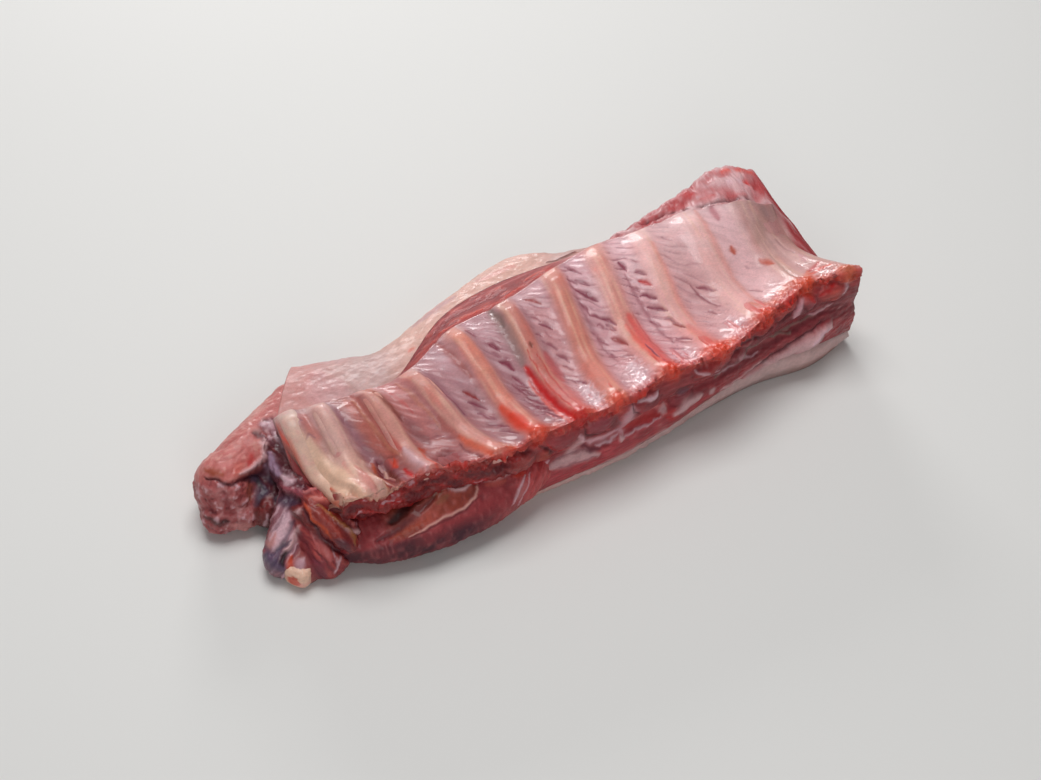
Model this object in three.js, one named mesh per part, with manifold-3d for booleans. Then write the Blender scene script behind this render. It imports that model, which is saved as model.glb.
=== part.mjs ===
// Raw pork ribs: a bone-in slab of pork, rib side up, lying on its fat.
// Millimetres, +Z up. X runs along the slab from its shoulder end to its loin end, Y from the near
// cut edge to the far one. Twelve rib bones lie side by side in the top of the meat, and a sheet of
// fat lies under it and comes out beyond it as a flap along the far side.
import * as THREE from "three";
import { mergeVertices } from "three/addons/utils/BufferGeometryUtils.js";
import Module from "manifold-3d";

const wasm = await Module();
wasm.setup();
const { lerp, smoothstep } = THREE.MathUtils;

// ---------------------------------------------------------------- driving dimensions
const GAP = 0.3; // clearance between touching pieces
const END_GAP = 4; // the same at the ragged shoulder end of the fat
const FAT_GAP = 0.45; // room that the muscles leave round the fat

// The slab is laid out along its twelve ribs: every table below has one value for each of these lines,
// a line being a rib's number or, at the ends, a cut just outside the first and the last rib.
const RIB_COUNT = 12;
const LINE = [0.5, 1, 2, 3, 4, 5, 6, 7, 8, 9, 10, 11, 12, 12.25];

// Where each line meets the near cut, the ribs' far ends and the flap's edge, and how far it bows.
const NEAR_X = [-140, -133, -118, -91, -54, -31, -4, 17, 50, 82, 115, 149, 176, 181];
const FAR_X = [-147, -139, -125, -100, -75, -39, -4, 31, 61, 90, 121, 155, 166, 172];
const FLAP_X = [-115, -109, -100, -84, -66, -27, 4, 33, 60, 92, 130, 160, 177, 183];
const BOW = [-6, -5, -3, 0, 0, 0, -2, -2, -4, -5, -3, -2, -4, -5];

// Cross-section at each line.
const NEAR_Y = [-50, -52, -56, -58, -66, -65, -65, -66, -62, -65, -56, -47, -53, -54]; // top of near cut
const NEAR_Z = [51, 52, 53, 53, 53, 53, 53, 53, 54, 55, 57, 58, 60, 60];
const FAR_Y = [17, 16, 12, 7, 5, 21, 25, 33, 38, 36, 35, 28, 22, 20]; // far ends of the ribs
const FAR_Z = [48, 50, 54, 56, 58, 58, 58, 58, 58, 58, 58, 57, 54, 53];
const TROUGH = [14, 14, 12, 10, 9, 8, 8, 8, 8, 9, 10, 12, 13, 13]; // how deep the rib cage curves
const STEP = [6, 7, 8, 9, 9, 9, 9, 9, 8, 5, 3, 2, 2, 2]; // drop from the ribs' far ends
const SHOULDER_Y = [20, 19, 15, 11, 11, 33, 38, 46, 47, 47, 55, 62, 58, 54]; // lean beyond them
const SHOULDER_Z = [43, 43, 44, 45, 47, 47, 47, 46, 46, 50, 51, 51, 50, 48];
const OUTER_Y = [22, 21, 18, 16, 18, 46, 54, 55, 53, 55, 60, 65, 62, 57]; // lean meets fat on the far side
const OUTER_Z = [41, 41, 42, 42, 42, 40, 40, 39, 38, 34, 32, 30, 30, 30];
const FLAP_Y = [64, 62, 59, 54, 51, 63, 73, 77, 66, 60, 63, 68, 65, 60]; // edge of the fat
const FLAP_Z = [30, 30, 30, 30, 30, 30, 30, 30, 28, 26, 24, 24, 24, 24];
const FOOT_Y = [-44, -46, -52, -56, -62, -63, -64, -65, -62, -58, -56, -60, -54, -52]; // foot of near cut
const FOOT_Z = [4, 4, 4, 4, 4, 5, 6, 7, 8, 12, 17, 20, 12, 9]; // thickness of the fat there
const FAT_MIDDLE_Z = 12;
const STEP_OUT = 1.6; // how far the drop from the ribs' far ends leans outwards
const STEP_SWELL = 1; // rise of the lean half way from there to its shoulder
const FLAP_ROUND = 3; // how far the flap's edge bulges below its rim
const UNDER_INSET = 3; // how far the fat's flat underside stays inside its edges
const FLAP_EDGE = [[0.2, 0.5], [0.55, 1]]; // share of the rim's height, share of its bulge
const FLAP_TOP = [[0.75, 0.45], [0.35, 0.12]]; // share of the way from lean to rim, share of the fall

// Height of the rib cage's curve across the slab, as shares of TROUGH, from the near to the far edge:
// along most of the slab, and at its loin end.
const CURVE_AT = [0, 0.2, 0.42, 0.62, 0.82, 1];
const CURVE = [0, -0.72, -0.95, -0.15, 0.35, 0];
const LOIN_CURVE = [0, -0.42, -0.85, -1.05, -0.85, 0];
const LOIN_LINES = [9.5, 12]; // the curve changes between these lines

// Near cut from its foot up: share of its height, and how far lean and seams stand out there.
const NEAR_CUT = [[0.16, 2.5], [0.34, 2], [0.48, -2.5], [0.62, 1.5], [0.76, 1], [0.88, -1]];
const SMOOTH_CUT = 0.35; // share of that relief left at the loin end
const WAVES = [
  { height: 0.9, perRib: 3.1, perMm: 0.14, phase: 0 },
  { height: 0.6, perRib: 5.3, perMm: -0.23, phase: 1.7 },
];

// Lumps of muscle between the rib ends along the near cut.
const LUMP_BULGE = 4.5;
const LUMP_HEIGHT = 13;
const LUMP_DROP = 12;

// Rib bones.
const BONE_WIDTH = 12.5;
const BONE_HEIGHT = 10;
const BONE_PROUD = [5.2, 5, 4.6, 4, 3.4, 3, 2.8, 2.2, 1.7, 1.5, 1.5, 3]; // stands out of the meat
const BONE_OVERHANG = [1, 2, 3.5, 1.2, 1.2, 1.2, 1.2, 1.2, 1.2, 1.2, 1.2, 1.2]; // past the near cut
const BONE_FAR_OVERHANG = 1; // past the ribs' far edge
const BONE_SIDES = 8;

// Muscles that stand out of the slab, mostly at its ragged shoulder end. Spindles taper to both
// points, the blunt ones keep their width between them.
const MUSCLES = [
  { from: [-150, -46, 12], to: [-14, -52, 20], width: 54, height: 40 }, // loin, bulging at the near side
  { from: [-124, 42, 17], to: [-180, 11, 20], width: 33, height: 38, blunt: true }, // belly end
  { from: [-181, 18, 9], to: [-186, 2, 8], width: 25, height: 23, blunt: true }, // its torn tip
  { from: [-142, 22, 12], to: [-160, -2, 11], width: 30, height: 26, blunt: true }, // floor of the hollow
  { from: [-144, 14, 23], to: [-141, -44, 23], width: 24, height: 22, blunt: true }, // under the first rib
  { from: [-146, 24, 31], to: [-152, -22, 31], width: 19, height: 15 }, // white skin beside it
  { from: [-148, -14, 26], to: [-175, -36, 8], width: 26, height: 24, blunt: true }, // grey column
  { from: [-148, -30, 26], to: [-151, -47, 9], width: 26, height: 26, blunt: true }, // red front muscle
  { from: [-153, -22, 34], to: [-137, -58, 22], width: 15, height: 14 }, // strap over it
  { from: [-142, -40, 9], to: [-163, -45, 6], width: 22, height: 20, blunt: true }, // round the neck bone
];
const SPINDLE_SEGMENTS = [14, 10];
const BLUNT_SEGMENTS = [4, 12];

// Cut neck bone at the shoulder end's foot.
const NECK_BONE = { centre: [-166, -48, 6.5], size: [17, 15, 13], yaw: 0.6, sides: 10 };

const LINE_STEP = 0.25; // spacing of the slab's cross-sections, in ribs
const CROSS_STEPS = 10; // steps across the rib cage
const LAYER_STEPS = 6; // steps across the sheet between lean and fat
const MERGE_DISTANCE = 1e-4;
const ABOVE_TABLE = [600, 400, 200]; // block that holds everything above the surface it lies on

const LEAN = { color: 0xb5655f, roughness: 0.4 };
const FAT = { color: 0xe6cdbf, roughness: 0.45 };
const BONE = { color: 0xdcc3ab, roughness: 0.4 };
const CUT_BONE = { color: 0xd9bfae, roughness: 0.45 };

// ---------------------------------------------------------------- curves through tables
// Smooth curve through (xs, ys), held level beyond its ends.
function along(xs, ys, x) {
  const last = xs.length - 1;
  if (x <= xs[0]) return ys[0];
  if (x >= xs[last]) return ys[last];
  let i = 0;
  while (x > xs[i + 1]) i++;
  const slope = (k) => {
    const a = Math.max(0, k - 1);
    const b = Math.min(last, k + 1);
    return (ys[b] - ys[a]) / (xs[b] - xs[a]);
  };
  const h = xs[i + 1] - xs[i];
  const t = (x - xs[i]) / h;
  const t2 = t * t;
  const t3 = t2 * t;
  return (
    ys[i] * (2 * t3 - 3 * t2 + 1) +
    slope(i) * h * (t3 - 2 * t2 + t) +
    ys[i + 1] * (3 * t2 - 2 * t3) +
    slope(i + 1) * h * (t3 - t2)
  );
}

const at = (table, u) => along(LINE, table, u);

// ---------------------------------------------------------------- the slab's surfaces
// Share of the way across at y: 0 at the near cut, 1 at the ribs' far ends, 2 at the flap's edge.
function shareAcross(u, y) {
  const near = at(NEAR_Y, u);
  const far = at(FAR_Y, u);
  if (y < far) return Math.max(0, (y - near) / (far - near));
  return 1 + (y - far) / (at(FLAP_Y, u) - far);
}

// X of line u at share v of the way across.
function lineX(u, v) {
  if (v > 1) return lerp(at(FAR_X, u), at(FLAP_X, u), v - 1);
  return lerp(at(NEAR_X, u), at(FAR_X, u), v) + at(BOW, u) * 4 * v * (1 - v);
}

const placed = (u, y, z) => new THREE.Vector3(lineX(u, shareAcross(u, y)), y, z);

// Point of the rib cage's inner surface, between the bones.
function cagePoint(u, v, lift = 0) {
  const y = lerp(at(NEAR_Y, u), at(FAR_Y, u), v);
  const edge = lerp(at(NEAR_Z, u), at(FAR_Z, u), v);
  const toLoin = smoothstep(u, ...LOIN_LINES);
  const share = lerp(along(CURVE_AT, CURVE, v), along(CURVE_AT, LOIN_CURVE, v), toLoin);
  return new THREE.Vector3(lineX(u, v), y, edge + at(TROUGH, u) * share + lift);
}

// Slow unevenness of cut meat, in millimetres.
function uneven(u, z) {
  let out = 0;
  for (const wave of WAVES) out += wave.height * Math.sin(u * wave.perRib + z * wave.perMm + wave.phase);
  return out;
}

// How far the lumps of muscle between the rib ends stand out of the near cut.
function lumpBulge(u, z) {
  const between = Math.sin(Math.PI * (u - Math.floor(u)));
  const rise = (z - (at(NEAR_Z, u) - LUMP_DROP)) / (LUMP_HEIGHT / 2);
  return LUMP_BULGE * between * Math.exp(-rise * rise);
}

// Sheet between lean and fat, from the far side to the near one, lowest in the middle.
function layerLine(u) {
  const outer = [at(OUTER_Y, u), at(OUTER_Z, u)];
  const foot = [at(FOOT_Y, u), at(FOOT_Z, u)];
  const line = [];
  for (let i = 0; i <= LAYER_STEPS; i++) {
    const t = i / LAYER_STEPS;
    const end = t < 0.5 ? outer[1] : foot[1];
    line.push([lerp(outer[0], foot[0], t), lerp(FAT_MIDDLE_Z, end, (2 * t - 1) ** 2)]);
  }
  return line;
}

function meatSection(u) {
  const ring = [];
  for (let i = 0; i <= CROSS_STEPS; i++) ring.push(cagePoint(u, i / CROSS_STEPS));
  const drop = [at(FAR_Y, u) + STEP_OUT, at(FAR_Z, u) - at(STEP, u)];
  const shoulder = [at(SHOULDER_Y, u), at(SHOULDER_Z, u)];
  ring.push(placed(u, ...drop));
  ring.push(placed(u, lerp(drop[0], shoulder[0], 0.5), lerp(drop[1], shoulder[1], 0.5) + STEP_SWELL));
  ring.push(placed(u, ...shoulder));
  for (const [y, z] of layerLine(u)) ring.push(placed(u, y, z + GAP));
  const relief = lerp(1, SMOOTH_CUT, smoothstep(u, ...LOIN_LINES));
  for (const [share, out] of NEAR_CUT) {
    const z = lerp(at(FOOT_Z, u), at(NEAR_Z, u), share);
    const y = lerp(at(FOOT_Y, u), at(NEAR_Y, u), share);
    ring.push(placed(u, y - (out + lumpBulge(u, z) + uneven(u, z)) * relief, z));
  }
  return ring;
}

// Fat under the meat and beyond it, or with `grow` the room that it takes out of the muscles.
function fatSection(u, grow = 0) {
  const outer = [at(OUTER_Y, u), at(OUTER_Z, u)];
  const rim = [at(FLAP_Y, u) + grow, at(FLAP_Z, u)];
  const footY = at(FOOT_Y, u) - grow;
  const ring = layerLine(u).map(([y, z], i) => placed(u, i === LAYER_STEPS ? footY : y, z + grow));
  for (const y of [footY + UNDER_INSET, 0, rim[0] - UNDER_INSET]) ring.push(placed(u, y, -grow));
  for (const [up, out] of FLAP_EDGE) ring.push(placed(u, rim[0] + FLAP_ROUND * out, rim[1] * up));
  ring.push(placed(u, rim[0], rim[1] + grow));
  for (const [share, fall] of FLAP_TOP) {
    ring.push(placed(u, lerp(outer[0], rim[0], share), lerp(outer[1], rim[1], fall) + grow));
  }
  if (grow && u === LINE[0]) for (const point of ring) point.x -= END_GAP;
  return ring;
}

// ---------------------------------------------------------------- solids
// Closed body through rings of points. Its ends are closed by triangles, found from each end ring's
// outline as `flat` lays it out.
function skin(rings, flat) {
  const points = rings.flat();
  const count = rings[0].length;
  const faces = [];
  for (let i = 0; i + 1 < rings.length; i++) {
    for (let j = 0; j < count; j++) {
      const a = i * count + j;
      const b = i * count + ((j + 1) % count);
      faces.push(a, a + count, b, b, a + count, b + count);
    }
  }
  for (const [ring, turn] of [[0, false], [rings.length - 1, true]]) {
    const contour = rings[ring].map(flat);
    for (const corners of THREE.ShapeUtils.triangulateShape(contour, [])) {
      const [p, q, r] = corners.sort((m, n) => m - n).map((k) => ring * count + k);
      faces.push(...(turn ? [p, r, q] : [p, q, r]));
    }
  }
  const geometry = new THREE.BufferGeometry().setFromPoints(points);
  geometry.setIndex(faces);
  return geometry;
}

// Solid of a closed geometry, turned right side out if its faces point inwards.
function solid(geometry) {
  const bare = geometry.clone();
  bare.deleteAttribute("normal");
  bare.deleteAttribute("uv");
  const merged = mergeVertices(bare, MERGE_DISTANCE);
  const vertProperties = new Float32Array(merged.attributes.position.array);
  const triVerts = new Uint32Array(merged.index.array);
  const made = new wasm.Manifold(new wasm.Mesh({ numProp: 3, vertProperties, triVerts }));
  if (made.volume() >= 0) return made;
  return new wasm.Manifold(new wasm.Mesh({ numProp: 3, vertProperties, triVerts: triVerts.reverse() }));
}

// Solid through the sections from line `first` to line `last`.
function slabSolid(section, step, first, last) {
  const count = Math.round((last - first) / step);
  const rings = [];
  for (let i = 0; i <= count; i++) rings.push(section(lerp(first, last, i / count)));
  return solid(skin(rings, (p) => new THREE.Vector2(p.y, p.z)));
}

// Rib bone number n: a flattened bar that follows the rib cage's curve.
function bone(n, grow = 0) {
  const rings = [];
  const width = BONE_WIDTH / 2 + grow;
  const height = BONE_HEIGHT / 2 + grow;
  for (let i = 0; i <= CROSS_STEPS; i++) {
    const v = i / CROSS_STEPS;
    const middle = cagePoint(n, v, BONE_PROUD[n - 1] - BONE_HEIGHT / 2);
    if (i === 0) middle.y -= BONE_OVERHANG[n - 1] + grow;
    if (i === CROSS_STEPS) middle.y += BONE_FAR_OVERHANG + grow;
    const ring = [];
    for (let k = 0; k < BONE_SIDES; k++) {
      const a = (2 * Math.PI * (k + 0.5)) / BONE_SIDES;
      ring.push(new THREE.Vector3(middle.x + width * Math.cos(a), middle.y, middle.z + height * Math.sin(a)));
    }
    rings.push(ring);
  }
  return solid(skin(rings, (p) => new THREE.Vector2(p.x, p.z)));
}

// A muscle's belly between two points.
function muscle({ from, to, width, height, blunt = false }) {
  const start = new THREE.Vector3(...from);
  const axis = new THREE.Vector3(...to).sub(start);
  const length = axis.length();
  let belly;
  if (blunt) {
    belly = new THREE.CapsuleGeometry(width / 2, length, ...BLUNT_SEGMENTS).rotateZ(Math.PI / 2);
    belly.scale(1, 1, height / width);
  } else {
    belly = new THREE.SphereGeometry(1, ...SPINDLE_SEGMENTS).scale(length / 2, width / 2, height / 2);
  }
  const across = new THREE.Vector3(0, 0, 1).cross(axis).normalize();
  const up = axis.clone().cross(across).normalize();
  belly.applyMatrix4(new THREE.Matrix4().makeBasis(axis.clone().normalize(), across, up));
  const middle = start.addScaledVector(axis, 0.5);
  return solid(belly.translate(middle.x, middle.y, middle.z));
}

function neckBone(grow = 0) {
  const { centre, size, yaw, sides } = NECK_BONE;
  const block = new THREE.CylinderGeometry(0.5, 0.5, 1, sides, 1);
  block.rotateZ(Math.PI / 2);
  block.scale(size[0] + 2 * grow, size[1] + 2 * grow, size[2] + 2 * grow);
  block.rotateZ(yaw);
  block.translate(...centre);
  return solid(block);
}

// ---------------------------------------------------------------- the object
const slab = new THREE.Group();

function add(name, made, look) {
  const mesh = made.getMesh();
  const geometry = new THREE.BufferGeometry();
  geometry.setAttribute("position", new THREE.BufferAttribute(mesh.vertProperties, 3));
  geometry.setIndex(new THREE.BufferAttribute(mesh.triVerts, 1));
  geometry.computeVertexNormals();
  const node = new THREE.Mesh(geometry, new THREE.MeshStandardMaterial({ ...look, metalness: 0 }));
  node.name = name;
  slab.add(node);
}

const first = LINE[0];
const last = LINE.at(-1);
const aboveTable = solid(new THREE.BoxGeometry(...ABOVE_TABLE).translate(0, 0, ABOVE_TABLE[2] / 2));

const fatRoom = slabSolid((u) => fatSection(u, FAT_GAP), LINE_STEP, first, last);
const neckBoneRoom = neckBone(GAP);

let meat = slabSolid(meatSection, LINE_STEP, first, last);
for (const shape of MUSCLES) meat = meat.add(muscle(shape).subtract(fatRoom));
meat = meat.intersect(aboveTable).subtract(neckBoneRoom);
for (let n = 1; n <= RIB_COUNT; n++) meat = meat.subtract(bone(n, GAP));
add("meat", meat, LEAN);

add("fat_layer", slabSolid(fatSection, LINE_STEP, first, last), FAT);
for (let n = 1; n <= RIB_COUNT; n++) {
  add(`rib_${String(n).padStart(2, "0")}`, bone(n), BONE);
}
add("neck_bone", neckBone().intersect(aboveTable), CUT_BONE);

// The origin is the middle of the underside.
const box = new THREE.Box3().setFromObject(slab, true);
const middle = box.getCenter(new THREE.Vector3());
slab.position.set(-middle.x, -middle.y, -box.min.z);

const pork = new THREE.Group();
pork.add(slab);

export default pork;
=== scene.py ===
"""Raw pork ribs: the looks of a bone-in slab of pork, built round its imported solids.

Lengths in the tables are millimetres in the slab's own layout, as in the part's source. Along the slab a
place is given by its rib number, across it by its share of the way from the near cut to the ribs' far ends.
"""

import math

import bmesh
import bpy
import numpy as np
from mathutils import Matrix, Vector


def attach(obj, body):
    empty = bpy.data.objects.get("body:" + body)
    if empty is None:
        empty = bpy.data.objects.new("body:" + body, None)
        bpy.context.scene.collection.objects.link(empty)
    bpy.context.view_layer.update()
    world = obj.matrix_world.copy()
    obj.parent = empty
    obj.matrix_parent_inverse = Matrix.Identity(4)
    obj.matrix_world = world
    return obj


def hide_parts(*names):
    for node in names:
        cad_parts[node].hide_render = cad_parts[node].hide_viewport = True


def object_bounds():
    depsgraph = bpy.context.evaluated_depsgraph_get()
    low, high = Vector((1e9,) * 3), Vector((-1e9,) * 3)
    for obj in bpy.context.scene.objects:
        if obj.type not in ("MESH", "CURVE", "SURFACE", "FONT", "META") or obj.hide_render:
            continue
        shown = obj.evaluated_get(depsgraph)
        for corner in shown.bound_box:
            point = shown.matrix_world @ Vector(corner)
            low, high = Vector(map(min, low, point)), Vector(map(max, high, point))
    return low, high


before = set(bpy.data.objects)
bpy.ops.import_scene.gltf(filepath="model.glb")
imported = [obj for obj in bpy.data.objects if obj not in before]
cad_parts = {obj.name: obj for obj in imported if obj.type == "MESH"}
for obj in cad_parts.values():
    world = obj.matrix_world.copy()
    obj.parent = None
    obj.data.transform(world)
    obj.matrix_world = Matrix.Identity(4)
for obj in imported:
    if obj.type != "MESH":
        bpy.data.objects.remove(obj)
cad_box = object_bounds()

# ------------------------------------------------------------------ the slab's layout, as in its source
MM = 0.001
SHIFT = np.array([7.311, -2.111, 0.0])  # from the slab's layout to the row's frame

RIB_COUNT = 12
LINE = [0.5, 1, 2, 3, 4, 5, 6, 7, 8, 9, 10, 11, 12, 12.25]
NEAR_X = [-140, -133, -118, -91, -54, -31, -4, 17, 50, 82, 115, 149, 176, 181]
FAR_X = [-147, -139, -125, -100, -75, -39, -4, 31, 61, 90, 121, 155, 166, 172]
FLAP_X = [-115, -109, -100, -84, -66, -27, 4, 33, 60, 92, 130, 160, 177, 183]
BOW = [-6, -5, -3, 0, 0, 0, -2, -2, -4, -5, -3, -2, -4, -5]
NEAR_Y = [-50, -52, -56, -58, -66, -65, -65, -66, -62, -65, -56, -47, -53, -54]
NEAR_Z = [51, 52, 53, 53, 53, 53, 53, 53, 54, 55, 57, 58, 60, 60]
FAR_Y = [17, 16, 12, 7, 5, 21, 25, 33, 38, 36, 35, 28, 22, 20]
FAR_Z = [48, 50, 54, 56, 58, 58, 58, 58, 58, 58, 58, 57, 54, 53]
TROUGH = [14, 14, 12, 10, 9, 8, 8, 8, 8, 9, 10, 12, 13, 13]
STEP = [6, 7, 8, 9, 9, 9, 9, 9, 8, 5, 3, 2, 2, 2]
SHOULDER_Y = [20, 19, 15, 11, 11, 33, 38, 46, 47, 47, 55, 62, 58, 54]
SHOULDER_Z = [43, 43, 44, 45, 47, 47, 47, 46, 46, 50, 51, 51, 50, 48]
OUTER_Y = [22, 21, 18, 16, 18, 46, 54, 55, 53, 55, 60, 65, 62, 57]
OUTER_Z = [41, 41, 42, 42, 42, 40, 40, 39, 38, 34, 32, 30, 30, 30]
FLAP_Y = [64, 62, 59, 54, 51, 63, 73, 77, 66, 60, 63, 68, 65, 60]
FLAP_Z = [30, 30, 30, 30, 30, 30, 30, 30, 28, 26, 24, 24, 24, 24]
FOOT_Y = [-44, -46, -52, -56, -62, -63, -64, -65, -62, -58, -56, -60, -54, -52]
FOOT_Z = [4, 4, 4, 4, 4, 5, 6, 7, 8, 12, 17, 20, 12, 9]
FAT_MIDDLE_Z = 12
FLAP_ROUND = 3
CURVE_AT = [0, 0.2, 0.42, 0.62, 0.82, 1]
CURVE = [0, -0.72, -0.95, -0.15, 0.35, 0]
LOIN_CURVE = [0, -0.42, -0.85, -1.05, -0.85, 0]
LOIN_LINES = (9.5, 12)
BONE_WIDTH = 12.5
BONE_HEIGHT = 10
BONE_PROUD = [5.2, 5, 4.6, 4, 3.4, 3, 2.8, 2.2, 1.7, 1.5, 1.5, 3]
BONE_OVERHANG = 1

# Muscles at the shoulder end: start, end, width, height, whether it is blunt, colour.
SHOULDER_MUSCLES = {
    "belly_end": ((-124, 42, 17), (-180, 13, 20), 33, 38, True, (192, 122, 114)),
    "torn_tip": ((-181, 18, 10), (-186, 5, 10), 24, 22, True, (160, 88, 88)),
    "tip_side": ((-172, 12, 12), (-177, 0, 9.5), 19, 18, True, (150, 84, 78)),
    # The hollow's floor is coloured near black as painted shade.
    "shaded_hollow_floor": ((-142, 22, 12), (-160, -2, 11), 30, 26, True, (66, 36, 42)),
    "under_first_rib": ((-144, 14, 23), (-141, -44, 23), 24, 22, True, (126, 40, 44)),
    "white_skin": ((-146, 24, 31), (-152, -22, 31), 19, 15, False, (104, 50, 62)),
    "grey_column": ((-148, -14, 26), (-171, -37, 8), 22, 22, True, (150, 116, 124)),
    "front_muscle": ((-148, -30, 26), (-151, -47, 9), 26, 26, True, (150, 58, 62)),
    "strap": ((-157, -28, 35), (-139, -61, 21), 14, 13, False, (128, 44, 38)),
    "bone_bed": ((-142, -40, 9), (-163, -45, 6), 22, 20, True, (150, 84, 78)),
}
LOIN = ((-150, -46, 12), (-14, -52, 20), 54, 40)
NECK_BONE_CENTRE = (-166, -48, 6.5)
NECK_BONE_SIZE = (17, 15, 13)
NECK_BONE_YAW = 0.6
NECK_BONE_SQUARE = 0.6
MARROW_HALF_SIZE = (4.5, 4)


# ------------------------------------------------------------------ curves and noise
def lerp(a, b, t):
    return a + (b - a) * t


def rise(x, start, end):
    """0 up to the start, 1 from the end on."""
    t = np.clip((x - start) / (end - start), 0, 1)
    return t * t * (3 - 2 * t)


def fade(x, start, end):
    """1 up to the start, 0 from the end on."""
    return 1 - rise(x, start, end)


def bump(x, middle, reach, power=2.0):
    """1 at the middle, falling to 0.37 at `reach` from it."""
    return np.exp(-(np.abs((x - middle) / reach) ** power))


def along(xs, ys, x):
    """Smooth curve through (xs, ys), held level beyond its ends."""
    xs = np.asarray(xs, float)
    ys = np.asarray(ys, float)
    slopes = np.empty(len(xs))
    slopes[1:-1] = (ys[2:] - ys[:-2]) / (xs[2:] - xs[:-2])
    slopes[0] = (ys[1] - ys[0]) / (xs[1] - xs[0])
    slopes[-1] = (ys[-1] - ys[-2]) / (xs[-1] - xs[-2])
    x = np.clip(np.asarray(x, float), xs[0], xs[-1])
    i = np.clip(np.searchsorted(xs, x, side="right") - 1, 0, len(xs) - 2)
    h = xs[i + 1] - xs[i]
    t = (x - xs[i]) / h
    eased = t * t * (3 - 2 * t)
    start_part = slopes[i] * h * t * (1 - t) ** 2
    end_part = slopes[i + 1] * h * t * t * (t - 1)
    return lerp(ys[i], ys[i + 1], eased) + start_part + end_part


def at(table, u):
    return along(LINE, table, u)


LATTICE = 32


def noise(points, size, seed):
    """Smooth noise from -1 to 1 over points in millimetres, with blobs about `size` wide."""
    table = np.random.default_rng(seed).uniform(-1, 1, (LATTICE,) * 3)
    scaled = np.asarray(points, float) / size
    cell = np.floor(scaled).astype(int)
    part = scaled - cell
    part = part * part * (3 - 2 * part)
    total = 0.0
    for corner in np.ndindex(2, 2, 2):
        weight = np.ones(scaled.shape[:-1])
        index = []
        for axis in range(3):
            side = part[..., axis] if corner[axis] else 1 - part[..., axis]
            weight = weight * side
            index.append((cell[..., axis] + corner[axis]) % LATTICE)
        total = total + weight * table[index[0], index[1], index[2]]
    return total


def scaled(points, x=1.0, y=1.0, z=1.0):
    """Points drawn together or apart along the axes, which lengthens or shortens noise over them."""
    return points * np.array([x, y, z])


def flat_points(x, y):
    return np.stack([x, y, 0 * x], 1)


def rough_noise(points, size, seed):
    """Noise with finer noise on top of it."""
    fine = noise(points, np.asarray(size) / 2.3, seed + 1)
    finest = noise(points, np.asarray(size) / 5.1, seed + 2)
    return (noise(points, size, seed) + 0.5 * fine + 0.25 * finest) / 1.4


# ------------------------------------------------------------------ colours
def tone(red, green, blue):
    """Linear colour from the 0 to 255 values it is seen as."""
    seen = np.array([red, green, blue]) / 255
    return np.where(seen <= 0.04045, seen / 12.92, ((seen + 0.055) / 1.055) ** 2.4)


COLOURS = {
    "ivory": tone(222, 196, 168),
    "cream": tone(216, 184, 168),
    "peach": tone(214, 144, 122),
    "salmon": tone(208, 112, 94),
    "tan": tone(192, 134, 108),
    "lilac": tone(216, 184, 190),
    "silver": tone(216, 202, 208),
    "grey": tone(150, 134, 142),
    "pink": tone(212, 140, 136),
    "brown_pink": tone(176, 104, 94),
    "grey_purple": tone(146, 106, 116),
    "mark": tone(126, 40, 66),
    "brown_mark": tone(140, 44, 44),
    "purple": tone(108, 50, 66),
    "slate": tone(70, 66, 86),
    "green_grey": tone(124, 110, 98),
    "olive": tone(126, 92, 56),
    "blood": tone(186, 12, 16),
    "orange_red": tone(216, 70, 38),
    "rust": tone(168, 76, 44),
    "brown": tone(116, 56, 40),
    "lean": tone(160, 68, 70),
    "dark_lean": tone(114, 44, 52),
    "wine": tone(84, 26, 38),
    "black_red": tone(36, 10, 14),
    "red": tone(184, 50, 50),
    "fat": tone(186, 152, 144),
    "pink_fat": tone(182, 134, 130),
    "white_fat": tone(210, 190, 188),
    "marrow": tone(196, 66, 36),
}


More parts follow.
